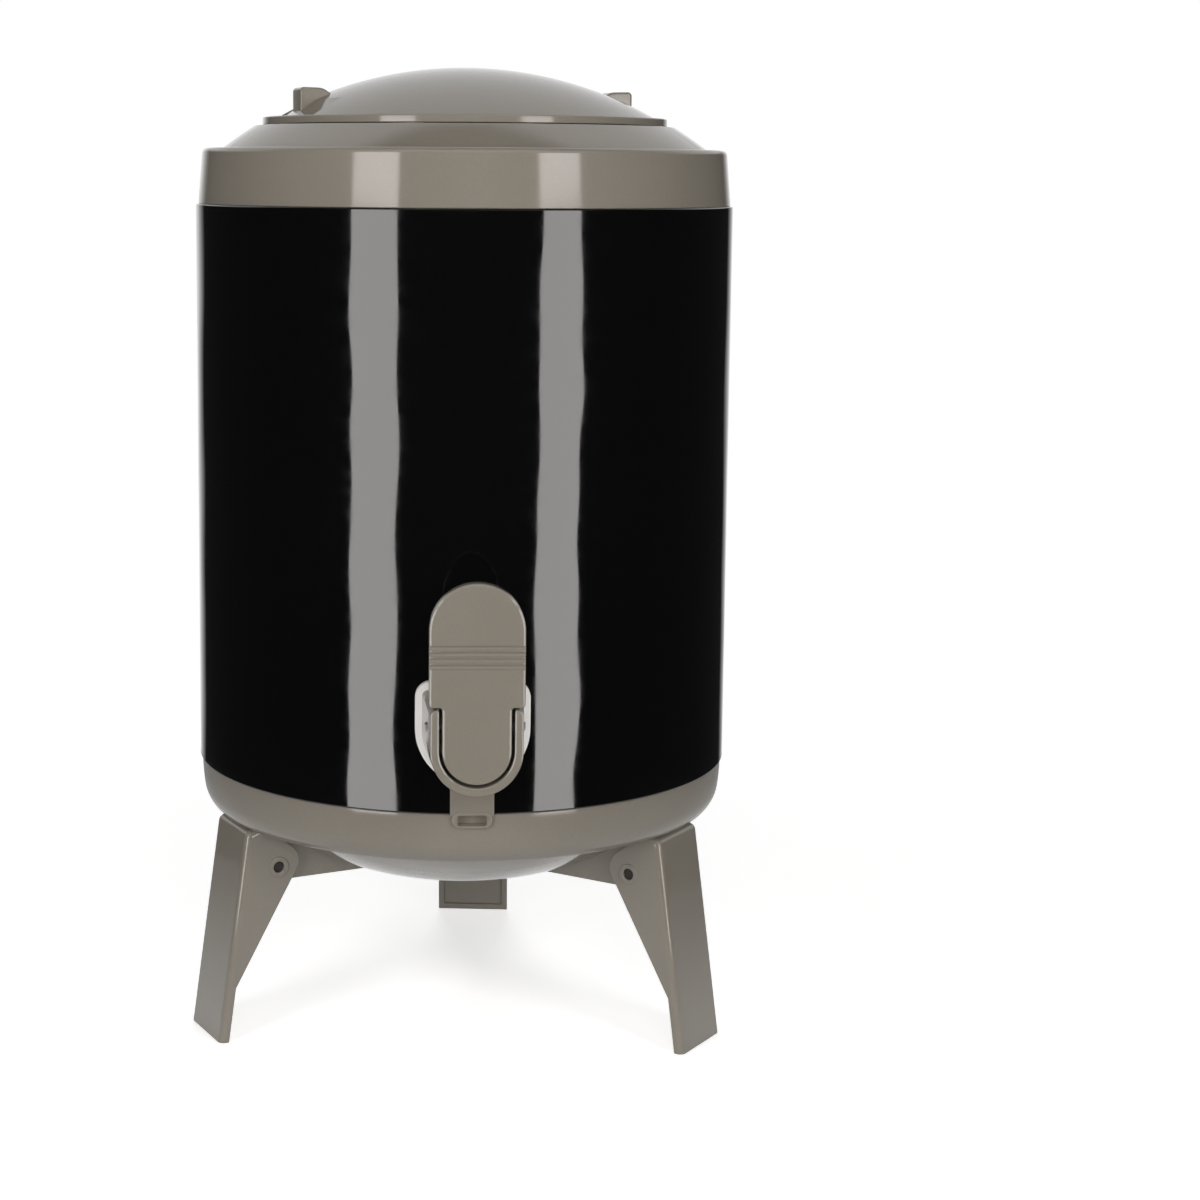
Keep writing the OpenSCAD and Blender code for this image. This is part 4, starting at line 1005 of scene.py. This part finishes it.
class DISPENSER_OT_lid(bpy.types.Operator):
    """Model the domed lid, with its flange, grip fins, skirt and lugs, and finish the plug under it"""
    bl_idname = "dispenser.lid"
    bl_label = "Lid"

    def execute(self, context):
        lid, finish = context.scene.dispenser_lid, context.scene.dispenser_finish
        grey = moulded_grey_abs(finish)
        seat, apex = COLLAR_TOP + mm(0.3), LID_HIGH.z
        deck, skirt, skirt_low = seat + lid.flange, mm(61.3), seat - mm(13.5)
        rise, foot = apex - deck, lid.dome_foot
        ball = (foot ** 2 + rise ** 2) / (2 * rise)
        ball_z = apex - ball
        dome = arc(0, ball_z, ball, 90 - math.degrees(math.asin(foot / ball)), 90, 40)
        dome[-1] = (0.0, apex)
        hollow = ball - mm(2.5)
        inner = arc(0, ball_z, hollow, 90 - math.degrees(math.asin(mm(5) / hollow)),
                    90 - math.degrees(math.asin(skirt / hollow)), 30)
        rim = rounded([(skirt, skirt_low, mm(0.6)), (mm(63.8), skirt_low, mm(0.6)),
                       (mm(63.8), seat, 0.0), (lid.radius, seat, mm(0.3)), (lid.radius, deck, mm(0.6)),
                       (foot, deck, mm(1.0)), dome[3] + (0.0,), (mm(30), seat, 0.0)], 6)[:-2]
        post = LID_LOW.z
        section = [(0.0, post), (mm(4.6), post), (mm(5.0), post + mm(0.4))] + inner + rim + dome[3:]
        cover = turned("lid_dome", section, SEAM_STEPS)
        # The dome falls away faster round the fins, to let the fingers in
        scoop = [(mm(57.0), deck + mm(7.3)), (mm(67.4), deck + mm(0.03)), (mm(72.5), deck + mm(0.03)),
                 (mm(72.5), deck + mm(12)), (mm(57.0), deck + mm(12))]
        fin_turns = [lid.fin_turn + math.radians(half) for half in (0, 180)]
        cut(cover, *[swept("scoop", scoop, turn, math.radians(46), 24) for turn in fin_turns])
        end, low, crest = mm(64.5), deck - mm(1.4), deck + lid.fin_height
        fin = slab("fin", rounded([(end - mm(17), low, 0.0), (end, low, 0.0), (end, crest - mm(0.4), mm(1.5)),
                                   (end - mm(8.5), crest - mm(0.6), mm(6.0)),
                                   (end - mm(17), deck + mm(5.0), 0.0)], 8),
                   -lid.fin_thickness / 2, lid.fin_thickness / 2)
        soften(fin, mm(0.9), 3)
        parts = [twin(fin, "grip_fin", turn) for turn in fin_turns]
        bpy.data.meshes.remove(fin.data)
        lug_top = skirt_low + mm(4.5)
        for way in LUGS:
            lug = swept("lug", [(mm(62.8), skirt_low), (mm(67.8), skirt_low), (mm(67.8), lug_top),
                                (mm(62.8), lug_top)], way, math.radians(28))
            parts.append(soften(lug, mm(0.5)))
        join(cover, *parts)
        place(cover, grey, "lid_cover", "body_grey", "lid_cover")
        dress(grey, "lid_retainer")
        dress(white_polypropylene(finish), "lid_plug")
        dress(rigid_foam(finish), "lid_insulation")
        dress(seal_rubber(finish), "lid_gasket")
        return {'FINISHED'}


class DISPENSER_OT_inside(bpy.types.Operator):
    """Finish the vessel, its seal and the insulation inside the body"""
    bl_idname = "dispenser.inside"
    bl_label = "Inside"

    def execute(self, context):
        finish = context.scene.dispenser_finish
        dress(white_polypropylene(finish), "inner_vessel", "vessel_floor", "vessel_shoulder", "outlet_pad")
        dress(seal_rubber(finish), "neck_seal")
        dress(rigid_foam(finish), "insulation_sleeve", "base_insulation")
        return {'FINISHED'}


class DISPENSER_PT_panel(bpy.types.Panel):
    """Lists the steps that model the dispenser"""
    bl_idname = "DISPENSER_PT_panel"
    bl_label = "Drink Dispenser"
    bl_space_type = 'VIEW_3D'
    bl_region_type = 'UI'
    bl_category = "Dispenser"

    def draw(self, context):
        for step in STEPS:
            self.layout.operator(step.bl_idname)


STEPS = (DISPENSER_OT_stage, DISPENSER_OT_shell, DISPENSER_OT_collar, DISPENSER_OT_base, DISPENSER_OT_legs,
         DISPENSER_OT_tap, DISPENSER_OT_lever, DISPENSER_OT_valve, DISPENSER_OT_lid, DISPENSER_OT_inside)
GROUPS = {"dispenser_body": BodySizes, "dispenser_lid": LidSizes, "dispenser_tap": TapSizes,
          "dispenser_legs": LegSizes, "dispenser_finish": Finishes}


def register():
    for group in GROUPS.values():
        bpy.utils.register_class(group)
    for name, group in GROUPS.items():
        setattr(bpy.types.Scene, name, PointerProperty(type=group))
    for step in STEPS:
        bpy.utils.register_class(step)
    bpy.utils.register_class(DISPENSER_PT_panel)


def unregister():
    bpy.utils.unregister_class(DISPENSER_PT_panel)
    for step in reversed(STEPS):
        bpy.utils.unregister_class(step)
    for name, group in reversed(GROUPS.items()):
        delattr(bpy.types.Scene, name)
        bpy.utils.unregister_class(group)


def main():
    """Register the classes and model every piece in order."""
    register()
    bpy.ops.dispenser.stage()
    bpy.ops.dispenser.shell()
    bpy.ops.dispenser.collar()
    bpy.ops.dispenser.base()
    bpy.ops.dispenser.legs()
    bpy.ops.dispenser.tap()
    bpy.ops.dispenser.lever()
    bpy.ops.dispenser.valve()
    bpy.ops.dispenser.lid()
    bpy.ops.dispenser.inside()


if __name__ == "__main__":
    main()
